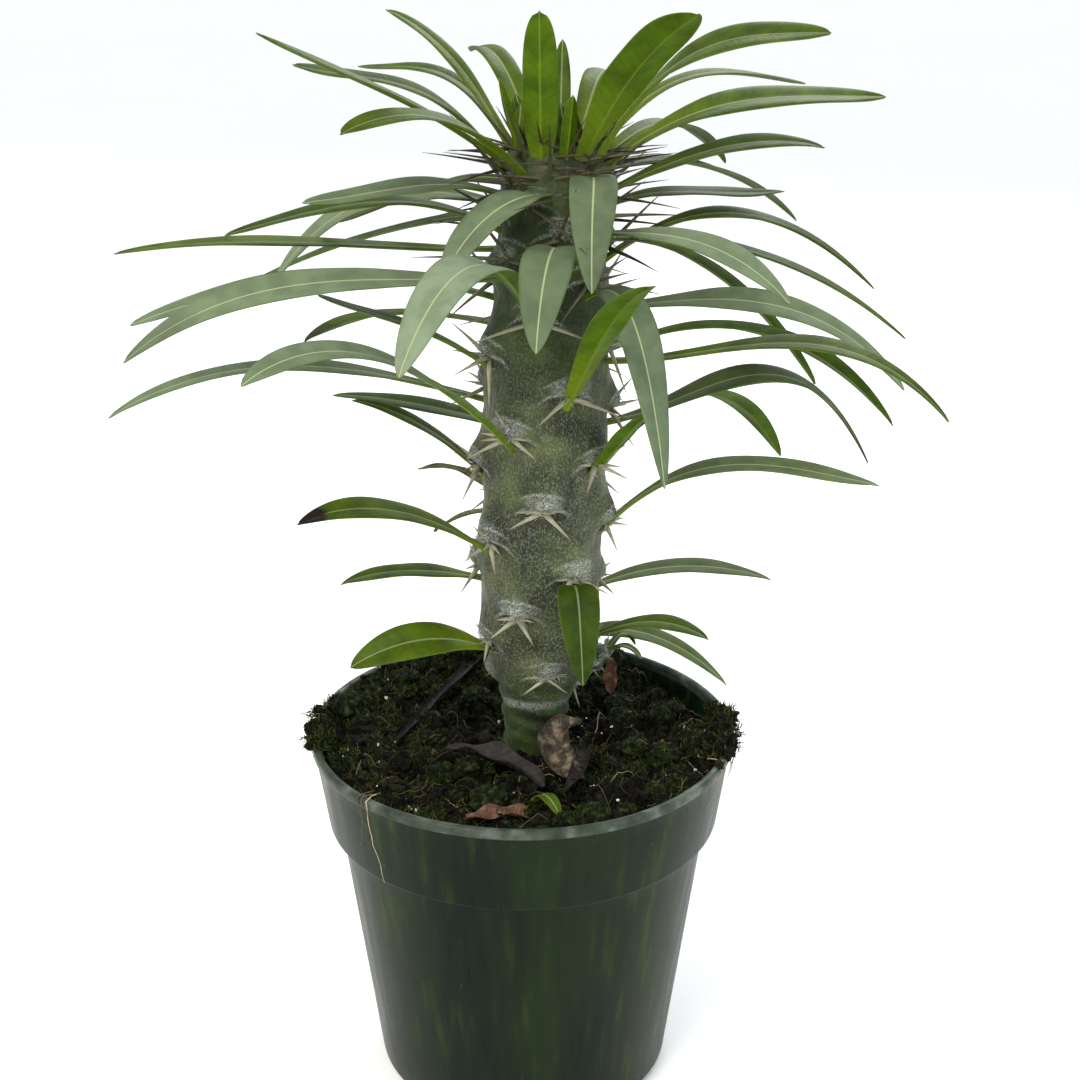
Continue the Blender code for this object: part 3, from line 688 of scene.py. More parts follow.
# %% Fibres on the soil
def ground_fibres(count, length, radius):
    """Tubes that wander over the ground."""
    start = scattered(count, 0.15, 0.96)
    heading = rng.uniform(0, 2 * np.pi, count)
    steps = 9
    turn = rng.normal(0, 0.35, (count, steps)).cumsum(axis=1) + heading[:, None]
    stride = length * rng.uniform(0.4, 1.4, count)[:, None] / steps
    moved = np.stack([np.cos(turn), np.sin(turn)], -1) * stride[:, :, None]
    flat = start[:, None] + moved.cumsum(axis=1)
    reach = np.linalg.norm(flat, axis=2, keepdims=True)
    flat *= np.minimum(1.0, SOIL_RADIUS * 0.99 / reach)
    height = ground(flat.reshape(-1, 2))[0].reshape(count, steps)
    arch = rng.uniform(0.2, 2.2, count)[:, None] * np.sin(np.linspace(0, np.pi, steps)) * MM
    paths = np.concatenate([flat, (height + arch + 0.2 * MM)[:, :, None]], -1)
    thick = radius * rng.uniform(0.6, 1.6, count)[:, None] * np.linspace(1.0, 0.45, steps)
    return paths, thick


fibre_paths, fibre_radii = ground_fibres(300, 9 * MM, 0.11 * MM)
scatter_tubes("root_fibres", fibre_paths, fibre_radii, 4, FIBRE, "peat", rng.beta(1.1, 4.0, len(fibre_paths)))

# Rootlets that hang over the lip: azimuth, how far they fall, how far they wander sideways
HANGING_ROOTS = [
    (-95, 9, 3), (-93, 14, -2), (-91, 7, 4), (-89, 11, -4), (-87, 5, 2), (-98, 6, 1),
    (-43, 21, 2), (-42, 13, -3), (-44.5, 8, 4), (79, 8, -3), (82, 12, 2), (80, 5, 4), (85, 9, -2),
    (66, 7, -8),
]


def hanging_rootlets():
    paths = []
    for azimuth, fall, sway in HANGING_ROOTS:
        shares = np.linspace(0, 1, 14)
        radius = np.interp(shares, [0, 0.2, 0.3, 0.38, 1], [49.5, 53.2, 54.5, 54.7, 54.3]) * MM
        height = np.interp(shares, [0, 0.2, 0.3, 0.38, 1], [95.2, 95.9, 95.4, 93.8, 94 - fall]) * MM
        below = np.clip((POT_HEIGHT - LIP_HEIGHT - height) / COLLAR_HEIGHT, 0, 1)
        radius -= below * COLLAR_TAPER
        wiggle = rng.normal(0, 0.5, 14).cumsum() * 0.6 + sway * shares**2
        turn = azimuth + np.degrees(wiggle * MM / RIM_RADIUS)
        paths.append(radius[:, None] * horizontal(turn) + height[:, None] * UP)
    paths = np.array(paths)
    return paths, np.tile(np.linspace(0.17, 0.07, 14) * MM, (len(paths), 1))


hang_paths, hang_radii = hanging_rootlets()
hang_tone = rng.uniform(0.35, 0.9, len(hang_paths))
scatter_tubes("hanging_rootlets", hang_paths, hang_radii, 5, FIBRE, "peat", hang_tone)
print("fibres:", len(fibre_paths), "rootlets over the rim:", len(hang_paths))

# %% [markdown]
# ## The stem
#
# The stem is a swollen water store.  Leaves have fallen from it in a golden-angle spiral, and each
# left a low mound with woolly grey hair and a fan of spines under it.  A fine grid wrapped round
# the stem's outline is the simplest way to get this: each mound is a bell curve added to the
# radius, steep below and drawn out above.

# %% Stem sizes and spiral
STEM_HEIGHT = 150.5 * MM
STEM_LEAN = 1.9
FOOT_RADIUS = 7.3 * MM
NECK_RADIUS = 11.5 * MM
BELLY_RADIUS = 14.6 * MM
SHOULDER_RADIUS = 12.4 * MM
CROWN_RADIUS = 10.7 * MM
CROWN_DEPTH = 43.0 * MM
GOLDEN_ANGLE = 137.5
FIRST_ANGLE = -41.0
FIRST_HEIGHT = 10.8 * MM
LAST_OLD_NODE = 28
LAST_NODE = 70
CROWDING = 0.084          # how quickly the nodes crowd together toward the tip
LEAN = np.array(Matrix.Translation((STEM_OFFSET, 0, SOIL_TOP))
                @ Matrix.Rotation(math.radians(STEM_LEAN), 4, "Y"))
OUTLINE_HEIGHT = np.array([
    -8 * MM, 0, 12 * MM, 24 * MM, 40 * MM, STEM_HEIGHT - 1.25 * CROWN_DEPTH, STEM_HEIGHT - CROWN_DEPTH,
    STEM_HEIGHT - 0.6 * CROWN_DEPTH, STEM_HEIGHT - 0.3 * CROWN_DEPTH])
OUTLINE_RADIUS = np.array([
    FOOT_RADIUS - 0.4 * MM, FOOT_RADIUS, (2 * FOOT_RADIUS + NECK_RADIUS) / 3, NECK_RADIUS, BELLY_RADIUS,
    BELLY_RADIUS, (BELLY_RADIUS + SHOULDER_RADIUS) / 2, SHOULDER_RADIUS, CROWN_RADIUS])


def lean(points):
    """Put points of the stem's own frame into the world."""
    return points @ LEAN[:3, :3].T + LEAN[:3, 3]


def stem_radius(height):
    """The stem's plain radius at heights over its foot, with a dome at the top."""
    height = np.asarray(height, float)
    side = np.interp(height, OUTLINE_HEIGHT, OUTLINE_RADIUS)
    dome = np.clip((height - OUTLINE_HEIGHT[-1]) / (STEM_HEIGHT - OUTLINE_HEIGHT[-1]), 0, 1)
    return side * np.sqrt(1 - dome**2)


def node_azimuth(node):
    return FIRST_ANGLE + GOLDEN_ANGLE * node


def node_height(node):
    old_top = STEM_HEIGHT - CROWN_DEPTH
    if node <= LAST_OLD_NODE:
        return FIRST_HEIGHT + (old_top - FIRST_HEIGHT) * node / LAST_OLD_NODE
    climb = math.exp(-CROWDING * (node - LAST_OLD_NODE))
    return STEM_HEIGHT - 2 * MM - (CROWN_DEPTH - 2 * MM) * climb


def on_stem(azimuth, height, outward=0.0):
    radius = stem_radius(height) + outward
    return radius * horizontal(azimuth) + height * UP


print("nodes climb from", round(node_height(1) / MM, 1), "to", round(node_height(LAST_NODE) / MM, 1), "mm")

# %% Stem skin with its mounds
STEM_RINGS, STEM_STEPS = 330, 296
MOUND_ABOVE_SPINES = 2.2 * MM
MOUND_SLOPE, MOUND_FACE, MOUND_WIDTH = 5.6 * MM, 1.9 * MM, 4.6 * MM          # above, below and aside
KNOB_AZIMUTH, KNOB_HEIGHT = -85.0, 19.5 * MM


def mound_size(node):
    """Height of a node's mound: low at the foot, full on the belly, smaller in the crowded crown."""
    return float(np.interp(node, [1, 4, 9, 28, 40, 70], [1.0, 2.3, 3.7, 3.5, 2.0, 0.8])) * MM


def averaged(field, rows, steps):
    """A grid round the stem, averaged over some rows up and down and some steps round."""
    tall = len(field)
    pick = np.clip(np.arange(tall)[:, None] + np.arange(-rows, rows + 1)[None], 0, tall - 1)
    field = field[pick].mean(axis=1)
    return np.mean([np.roll(field, step, axis=1) for step in range(-steps, steps + 1)], axis=0)


def stem_skin():
    low = -6 * MM
    share = np.linspace(0, 1, STEM_RINGS)
    height = low + (STEM_HEIGHT - 0.02 * MM - low) * (1 - (1 - share) ** 1.12)
    # soften the outline's corners by averaging it over 8 mm
    spread = np.linspace(-4 * MM, 4 * MM, 9)
    plain = np.mean([stem_radius(np.minimum(height + s, STEM_HEIGHT)) for s in spread], axis=0)
    dome = smoothstep((height - (STEM_HEIGHT - 14 * MM)) / (8 * MM))
    plain = plain * (1 - dome) + stem_radius(height) * dome
    azimuth = 360.0 * np.arange(STEM_STEPS) / STEM_STEPS
    tall, turn = np.meshgrid(height, azimuth, indexing="ij")
    radius = np.repeat(plain[:, None], STEM_STEPS, axis=1)
    wool = np.zeros_like(radius)
    scar = np.zeros_like(radius)
    for node in range(1, LAST_NODE):
        at, centre = node_height(node), node_azimuth(node)
        aside = np.radians(turn_between(centre, turn)) * stem_radius(at)
        over = tall - at - MOUND_ABOVE_SPINES
        fall = np.where(over > 0, MOUND_SLOPE, MOUND_FACE)
        bell = np.exp(-(over / fall) ** 2 - (aside / MOUND_WIDTH) ** 2)
        radius += mound_size(node) * bell
        # hair sits on the mound just over the spines, and runs off sideways in two hanging arcs
        tuft = np.exp(-((over - 0.2 * MM) / (1.7 * MM)) ** 2 - (aside / (2.1 * MM)) ** 2)
        arc = over + 0.9 * MM + aside**2 / (16 * MM)
        arcs = np.exp(-(arc / (0.55 * MM)) ** 2) * np.exp(-(aside / (6.5 * MM)) ** 4)
        upper = over - 2.6 * MM + aside**2 / (13 * MM)
        upper_arc = np.exp(-(upper / (0.45 * MM)) ** 2) * np.exp(-(aside / (5.5 * MM)) ** 4)
        arcs = np.maximum(arcs, 0.8 * upper_arc)
        woolly = float(np.interp(node, [1, 7, 30, 44, 60], [0.6, 1.0, 1.0, 0.35, 0.1]))
        wool = np.maximum(wool, woolly * np.maximum(tuft, 0.9 * arcs))
        button = np.exp(-((tall - at + 2.6 * MM) ** 2 + aside**2) / (1.0 * MM) ** 2)
        scar = np.maximum(scar, button)
    knob_aside = np.radians(turn_between(KNOB_AZIMUTH, turn)) * NECK_RADIUS
    knob = np.exp(-((tall - KNOB_HEIGHT) ** 2 + knob_aside**2) / (3.2 * MM) ** 2)
    radius += 2.6 * MM * knob
    wool = np.maximum(wool, 0.55 * knob)
    folds = np.exp(-((tall - 10 * MM) / (9 * MM)) ** 2)
    radius += 0.28 * MM * folds * np.sin(tall / (0.75 * MM) + np.radians(turn) * 2)
    points = radius[..., None] * horizontal(turn) + tall[..., None] * UP
    flat = points.reshape(-1, 3)
    rough = 0.6 * wander(flat, 5 * MM, 8) + 0.14 * wander(flat * np.array((1, 1, 0.4)), 1.2 * MM, 9)
    rough = rough.reshape(radius.shape) * MM * np.minimum(1, radius / (6 * MM))
    points += rough[..., None] * horizontal(turn)
    # how far each point stands out of its surroundings: ridges keep silver hair, partly a painted
    # highlight, and hollows are darkened with painted shade
    proud = (radius + rough) - averaged(radius + rough, 7, 10)
    # partly real silver hair and partly a painted highlight: every ridge of the skin is silvered
    wool = np.maximum(wool, 0.42 * smoothstep(proud / (0.9 * MM)) * smoothstep((108 * MM - tall) / (10 * MM)))
    # painted shade: the more the skin dips below its surroundings, the darker the bark is painted
    hollow = smoothstep(-proud / (0.7 * MM))
    # a pale band where the bark has split, low on the foot
    band = np.exp(-((tall - (11.5 * MM + 1.3 * MM * np.cos(np.radians(turn - 10)))) / (1.3 * MM)) ** 2)
    wool = np.maximum(wool, 0.5 * band * smoothstep(np.cos(np.radians(turn - 5)) + 0.25))
    green = np.maximum(smoothstep((26 * MM - tall) / (18 * MM)), smoothstep((tall - 80 * MM) / (34 * MM)))
    vertices, faces = skin(points[None], np.array([[0, 0, low]]), np.array([[0, 0, STEM_HEIGHT]]))
    fields = {"wool": wool, "green": green, "scar": scar, "hollow": hollow}
    return lean(vertices), faces, {key: np.append(field.ravel(), [0.0, 0.0]) for key, field in fields.items()}


# %% [markdown]
# Its skin is a waxy, corky bark: olive grey with a silver bloom that breaks up into fine upright
# flecks, greener at the foot and in the crown.  The wool number drives the silver, and stretched
# noise breaks it up so that it reads as hair and not as paint.  On the ridges that silver is partly
# a painted highlight, and the hollow number darkens the hollows with painted shade.

# %% Stem bark finish
def stem_bark():
    made, tree, shader = finish("waxy_succulent_bark", 0.55, 1.45, Specular_IOR_Level=0.3,
                                Sheen_Weight=0.08, Sheen_Roughness=0.4)
    place = add(tree, "TexCoord", out="Object")
    cloud = add(tree, "TexNoise", {"Vector": place, "Scale": 1 / (9 * MM), "Detail": 4.0})
    fleck_way = add(tree, "Mapping", {"Vector": place, "Scale": per_mm(0.38, 0.38, 0.6)})
    fleck = add(tree, "TexNoise", {"Vector": fleck_way, "Scale": 1.0, "Detail": 3.0, "Roughness": 0.7})
    bark = add(tree, "ValToRGB", {0: cloud}, stops=[
        (0.34, srgb("#1e220b")), (0.50, srgb("#353b1c")), (0.66, srgb("#50572f"))])
    green_part = add(tree, "ValToRGB", {0: cloud}, stops=[
        (0.34, srgb("#1c290a")), (0.66, srgb("#384a1c"))])
    green = add(tree, "Attribute", out="Fac", attribute_name="green")
    skin_colour = add(tree, "Mix", {0: green, 6: bark, 7: green_part},
                      **MIX_COLOUR)
    # hollows are darkened with painted shade, and both they and the greener parts have fewer flecks
    hollow = add(tree, "Attribute", out="Fac", attribute_name="hollow")
    grime_and_shade = add(tree, "Math", {0: hollow, 1: 0.7}, operation="MULTIPLY")
    skin_colour = add(tree, "Mix", {0: grime_and_shade, 6: skin_colour, 7: srgb("#14170b")}, **MIX_COLOUR)
    bare = add(tree, "Math", {0: hollow, 1: green}, operation="MAXIMUM")
    fleck_most = add(tree, "MapRange", {0: bare, 1: 0.0, 2: 1.0, 3: 0.62, 4: 0.14})
    flecks = add(tree, "MapRange", {0: fleck, 1: 0.49, 2: 0.66, 3: 0.0, 4: fleck_most})
    flecked = add(tree, "Mix", {0: flecks, 6: skin_colour, 7: srgb("#868d7d")}, **MIX_COLOUR)
    wool = add(tree, "Attribute", out="Fac", attribute_name="wool")
    hair_way = add(tree, "Mapping", {"Vector": place, "Scale": per_mm(0.42, 0.42, 0.3)})
    hair = add(tree, "TexNoise", {"Vector": hair_way, "Scale": 1.0, "Detail": 4.0, "Roughness": 0.7})
    split = add(tree, "MapRange", {0: hair, 1: 0.45, 2: 0.55, 3: 0.05, 4: 1.0})
    crisp = add(tree, "MapRange", {0: wool, 1: 0.12, 2: 0.85, 3: 0.0, 4: 1.0})
    silver = add(tree, "Math", {0: crisp, 1: split}, operation="MULTIPLY")
    silvered = add(tree, "Mix", {0: silver, 6: flecked, 7: srgb("#c6cbc3")}, **MIX_COLOUR)
    scar = add(tree, "Attribute", out="Fac", attribute_name="scar")
    scarred = add(tree, "Mix", {0: scar, 6: silvered, 7: srgb("#4a4230")}, **MIX_COLOUR)
    relief = add(tree, "Math", {0: fleck, 1: silver}, operation="ADD")
    bump = add(tree, "Bump", {"Height": relief, "Strength": 0.8, "Distance": 0.3 * MM})
    plug(tree, shader, Base_Color=scarred, Normal=bump)
    return made


BARK = stem_bark()
stem_vertices, stem_faces, stem_fields = stem_skin()
make_piece("stem_body", stem_vertices, stem_faces, [BARK], "stem_skin", ["stem"], **stem_fields)
print("stem:", len(stem_vertices), "points, widest", round(np.ptp(stem_vertices[:, 0]) / MM, 1), "mm")

# %% [markdown]
# ## Spines and wool
#
# Under each mound stands a fan of spines: two that sweep sideways and down like a moustache, and
# shorter ones that point up.  Old spines are bone-coloured with dark tips, and the crown's long
# young ones are brown.  They are tapered tubes with a slight bend, joined into one piece, and so
# are the hundreds of short hairs of each woolly tuft.

# %% Spine and wool finishes
def spine_horn():
    made, tree, shader = finish("horny_spine", 0.48, 1.54)
    place = add(tree, "TexCoord", out="Object")
    mottle = add(tree, "TexNoise", {"Vector": place, "Scale": 1 / (1.5 * MM), "Detail": 3.0})
    tip = add(tree, "Attribute", out="Fac", attribute_name="tip")
    young = add(tree, "Attribute", out="Fac", attribute_name="young")
    old_colour = add(tree, "ValToRGB", {0: tip}, stops=[
        (0.0, srgb("#63644f")), (0.30, srgb("#9c9980")), (0.80, srgb("#8f876d")), (1.0, srgb("#3c3024"))])
    young_colour = add(tree, "ValToRGB", {0: tip}, stops=[
        (0.0, srgb("#4b5226")), (0.35, srgb("#433a1f")), (1.0, srgb("#231a10"))])
    mixed = add(tree, "Mix", {0: young, 6: old_colour, 7: young_colour},
                **MIX_COLOUR)
    shade = add(tree, "MapRange", {0: mottle, 1: 0.3, 2: 0.7, 3: 0.8, 4: 1.15})
    shaded = add(tree, "Mix", {0: 1.0, 6: mixed, 7: shade}, blend_type="MULTIPLY",
                 **MIX_COLOUR)
    bump = add(tree, "Bump", {"Height": mottle, "Strength": 0.3, "Distance": 0.1 * MM})
    plug(tree, shader, Base_Color=shaded, Normal=bump)
    return made


HORN = spine_horn()
WOOL = plant_bits("silver_wool", "#6b7064", "#9da298", "#cfd2ca", 0.85)

# %% Spines
spine_rng = np.random.default_rng(5)
SPINE_STATIONS, SPINE_SIDES = 12, 8
# each spine: degrees aside, degrees up (over the side spines' own droop), share of the full length
SPINE_FAN = [(-66, 0, 1.0), (66, 0, 1.0), (0, 46, 0.8), (-32, 38, 0.62), (36, 28, 0.55)]
LOW_EXTRAS = [(-86, 26, 0.7), (84, 34, 0.6)]          # the lower stem's fans have two more, pressed aside


def spine_set(node):
    """Direction and length of each spine in a node's fan."""
    azimuth = node_azimuth(node)
    side_length = float(np.interp(node, [1, 8, 16, 24, 34, 60, 70], [6.5, 8.0, 10.5, 14.0, 23.0, 22.0, 11.0]))
    down = float(np.interp(node, [1, 24, 34, 70], [-30.0, -24.0, -2.0, 22.0]))
    found = []
    fan = SPINE_FAN if node <= LAST_OLD_NODE + 4 else SPINE_FAN[:3]
    if node <= LAST_OLD_NODE - 6:
        fan = fan + LOW_EXTRAS
    for aside, tilt, share in fan:
        if aside:
            tilt += down
        turn = azimuth + aside + spine_rng.normal(0, 7)
        tilt = math.radians(tilt + spine_rng.normal(0, 7))
        way = horizontal(turn) * math.cos(tilt) + np.array((0, 0, math.sin(tilt)))
        found.append((way, side_length * share * spine_rng.uniform(0.85, 1.12) * MM))
    return found


def all_spines():
    paths, radii, young = [], [], []
    shares = np.linspace(0, 1, SPINE_STATIONS)
    for node in range(1, LAST_NODE):
        root = on_stem(node_azimuth(node), node_height(node), 0.3 * mound_size(node) - 0.3 * MM)
        for way, length in spine_set(node):
            sag = np.array((0, 0, -0.06)) * length
            path = root + way * length * shares[:, None] + sag * shares[:, None] ** 2
            thick = float(np.interp(node, [1, 10, 30, 70], [0.58, 0.82, 0.62, 0.42])) * MM
            if length < 7 * MM:
                thick *= 0.8
            paths.append(path)
            radii.append(thick * (1.0 - shares) ** 0.95 + 0.04 * MM)
            young.append(float(smoothstep(np.array((node - 27) / 8.0))))
    vertices, faces = tubes(lean(np.array(paths)), np.array(radii), SPINE_SIDES)
    tip = np.tile(np.append(np.repeat(shares, SPINE_SIDES), [0.0, 1.0]), len(paths))
    return vertices, faces, tip, np.repeat(young, SPINE_STATIONS * SPINE_SIDES + 2)


spine_vertices, spine_faces, spine_tip, spine_young = all_spines()
make_piece("spines", spine_vertices, spine_faces, [HORN], "stem_skin", tip=spine_tip, young=spine_young)
print("spines:", len(spine_vertices) // (SPINE_STATIONS * SPINE_SIDES + 2))

# %% Woolly tufts
wool_rng = np.random.default_rng(9)


def woolly_tufts():
    """Short hairs round each node, lying along the arc over its spines."""
    paths = []
    for node in range(1, LAST_NODE):
        for _ in range(70 if node <= LAST_OLD_NODE else (26 if node < 44 else 6)):
            aside = wool_rng.normal(0, 1.7) * MM
            over = 1.4 * MM + wool_rng.normal(0, 1.3) * MM - aside**2 / (9 * MM)
            height = node_height(node) + over
            turn = node_azimuth(node) + math.degrees(aside / float(stem_radius(node_height(node))))
            bell = math.exp(-((over - MOUND_ABOVE_SPINES) / (4 * MM)) ** 2 - (aside / (5.2 * MM)) ** 2)
            root = on_stem(turn, height, mound_size(node) * bell - 0.15 * MM)
            way = horizontal(turn + wool_rng.normal(0, 35)) + wool_rng.normal(0, 0.55, 3) - 0.2 * UP
            way /= np.linalg.norm(way)
            length = wool_rng.uniform(0.6, 1.6) * MM
            bend = wool_rng.normal(0, 0.3, 3) * length
            paths.append([root, root + way * length * 0.5, root + way * length + bend])
    paths = lean(np.array(paths))
    return paths, np.tile(np.array([0.055, 0.05, 0.02]) * MM, (len(paths), 1))


wool_paths, wool_radii = woolly_tufts()
wool_tone = wool_rng.uniform(0.2, 1.0, len(wool_paths))
scatter_tubes("woolly_tufts", wool_paths, wool_radii, 3, WOOL, "stem_skin", wool_tone)
print("hairs:", len(wool_paths))

# %% [markdown]
# ## Leaves
#
# Each leaf is a lance with a round petiole, a sunken pale midrib above and a raised one below, and
# edges that roll down a little.  It is lofted along a smooth curve that springs straight out of the
# stem and then bends over under its own weight.  The table names the leaf's node, the azimuth it
# points to, and in millimetres its reach, the heights of its curve's two handles and of its tip,
# and its width; the last number turns the blade to face the front.  The CAD part holds the same
# table, so each fine leaf covers its plain one.

# %% The leaf table
LEAVES = [
    (4, 98, 46, 7, 4, -13, 7.0, 10),
    (5, -78, 37, 8, 7, 0, 9.0, 20),
    (6, 65, 34, 9, 13, 8, 7.0, 0),
    (9, 105, 51, 6, 5, -2, 8.0, 0),
    (10, -90, 37, 2, 4, -1, 8.0, -4),
    (11, 10, 17, 6, 4, -17, 10.0, 0),
    (12, -130, 40, 6, 6, -6, 4.0, 0),
    (13, -62, 50, 14, 22, 17, 9.0, 10),
    (14, 80, 67, 28, 20, 17, 9.0, 0),
    (15, -130, 30, 8, 8, 4, 3.0, 0),
    (17, 130, 76, 16, 28, -8, 9.0, -25),
    (18, -90, 32, 12, 18, 20, 6.0, 0),
    (19, 40, 20, 6, 16, 20, 7.0, -10),
    (20, -125, 66, 0, 4, 1, 8.0, 0),
    (21, -45, 75, 24, 41, 30, 11.0, 10),
    (22, 105, 73, 0, 29, -16, 10.0, 5),
    (23, -76, 91, 8, 20, 3, 9.0, -3),
    (24, 19, 48, 18, 34, 38, 9.0, 0),
    (25, 95, 83, 10, 20, -16, 10.0, -25),
    (26, -65, 42, 13, 15, 22, 7.0, 0),
    (27, 75, 80, 0, 20, -9, 9.0, 0),
    (28, -125, 71, 0, 3, -12, 9.0, -20),
    (29, -33, 52, 27, 27, 2, 12.0, 10),
    (30, 85, 75, 0, 11, -18, 11.0, 10),
    (31, -75, 84, 9, 8, -1, 10.0, 8),
    (32, 36, 30, 6, 10, -37, 10.5, 0),
    (33, 115, 78, 14, 2, -36, 8.0, -10),
    (34, -70, 88, 0, 10, -12, 11.0, 12),
    (35, 100, 68, 18, 13, -8, 9.0, 0),
    (36, -76, 91, -2, 7, 3, 9.0, -10),
    (37, -10, 30, 6, 6, -15, 11.5, 0),
    (38, 100, 84, 0, -4, -28, 8.0, 0),
    (39, -80, 63, 14, 7, 2, 9.0, 0),
    (40, 55, 50, 2, 4, -10, 9.0, 10),
    (41, -115, 82, 0, -8, -22, 8.0, 0),
    (43, 100, 46, 8, 2, 4, 8.0, 0),
    (44, -98, 58, 4, 8, -19, 11.0, 15),
    (46, 125, 76, 11, 8, -12, 9.0, 0),
    (47, -65, 50, 9, 3, 3, 9.0, 0),
    (48, 85, 51, 9, 16, 12, 8.0, 0),
    (49, -122, 56, 6, -6, -12, 8.0, 0),
    (50, -54, 29, 3, 0, -15, 10.0, 10),
    (52, -80, 48, 28, 22, 27, 8.0, 0),
    (53, 2, 26, 6, 8, -18, 10.5, 0),
    (54, 180, 66, 20, 18, 2, 9.0, 0),
    (55, -55, 47, 17, 20, 14, 8.0, 10),
    (56, 105, 72, 22, 17, 17, 9.0, -10),
    (57, -115, 42, 29, 22, 23, 7.0, 0),
    (59, 165, 52, 22, 26, 14, 8.0, 0),
    (60, -60, 60, 17, 22, 32, 7.0, 0),
    (61, 65, 53, 34, 31, 32, 9.0, -10),
    (63, -5, 10, 8, 18, 35, 7.0, 0),
    (64, 120, 63, 28, 20, 17, 6.0, 0),
    (66, 40, 36, 19, 30, 35, 11.0, 0),
]
# leaves of the crown's back and its bud, too small or too hidden for the CAD part
SMALL_LEAVES = [
    (51, 140, 60, 16, 16, 0, 8.0, 0),
    (62, -158, 44, 22, 28, 24, 7.0, 0),
    (65, -112, 32, 22, 30, 34, 6.0, 0),
    (67, 175, 12, 8, 18, 27, 4.5, 0),
    (68, -45, 8, 6, 13, 20, 3.5, 0),
    (69, 95, 7, 6, 12, 17, 3.0, 0),
    (58, 15, 6, 8, 14, 19, 3.4, 0),
    (70, -150, 6, 6, 11, 15, 3.2, 0),
    (71, 60, 5, 5, 9, 13, 3.0, 0),
    (72, -20, 5, 5, 9, 12, 2.8, 0),
    (73, 175, 4, 5, 9, 13, 2.8, 0),
    (74, -90, 4, 5, 9, 12, 2.6, 0),
]
# the crown's heart is a tight bunch of young leaves: every other one closes over the tip of the stem
HEART_LEAVES = [(node, node_azimuth(node), -4.5 if node % 2 else 2.5, 5, 10, 15 - 0.3 * (node - 75), 4.4, 0)
                for node in range(75, 89)]
SMALL_LEAVES += HEART_LEAVES
WITHERED_WIDTH = 4.0
LEAF_DROP = 4.0 * MM
LEAF_ROOTING = 1.5 * MM
PETIOLE_WIDTH = 2.3 * MM
TIP_WIDTH = 0.6 * MM
KEEL = 0.12
WIDEST_AT = 0.55
LEAF_STATIONS, LEAF_ACROSS = 44, 15
print("leaves:", len(LEAVES), "and small ones:", len(SMALL_LEAVES))


# %% Leaf shape
def along_curve(handles, shares):
    """Points and directions of a four-handle curve."""
    share = shares[:, None]
    rest = 1 - share
    a, b, c, d = handles
    points = rest**3 * a + 3 * rest**2 * share * b + 3 * rest * share**2 * c + share**3 * d
    way = rest**2 * (b - a) + 2 * rest * share * (c - b) + share**2 * (d - c)
    return points, way / np.linalg.norm(way, axis=1, keepdims=True)


def blade_width(shares, widest, blunt=0.0, stalk=PETIOLE_WIDTH):
    """A slim petiole, a strap-like blade with nearly parallel sides, and a blunt end with a point."""
    swell = np.sin(np.pi / 2 * np.minimum(1, shares / WIDEST_AT)) ** 1.35
    beyond = np.clip((shares - WIDEST_AT) / (1 - WIDEST_AT), 0, 1)
    fade = (1 - beyond ** (2.4 + 2.6 * blunt)) ** (0.72 - 0.27 * blunt)
    return np.where(shares < WIDEST_AT, stalk + (widest - stalk) * swell,
                    TIP_WIDTH + (widest - TIP_WIDTH) * fade)


def leaf_handles(node, heading, reach, lift, carry, tip):
    """The four handles of a leaf's midrib, from inside the stem to its tip."""
    azimuth = node_azimuth(node)
    foot = lean(on_stem(azimuth, node_height(node) - LEAF_DROP, -LEAF_ROOTING))
    first = horizontal(heading - turn_between(azimuth, heading) / 2)
    last = horizontal(heading)
    up = UP * MM
    reach *= MM
    return [foot, foot + reach / 3 * first + lift * up, foot + reach * 2 / 3 * last + carry * up,
            foot + reach * last + tip * up]


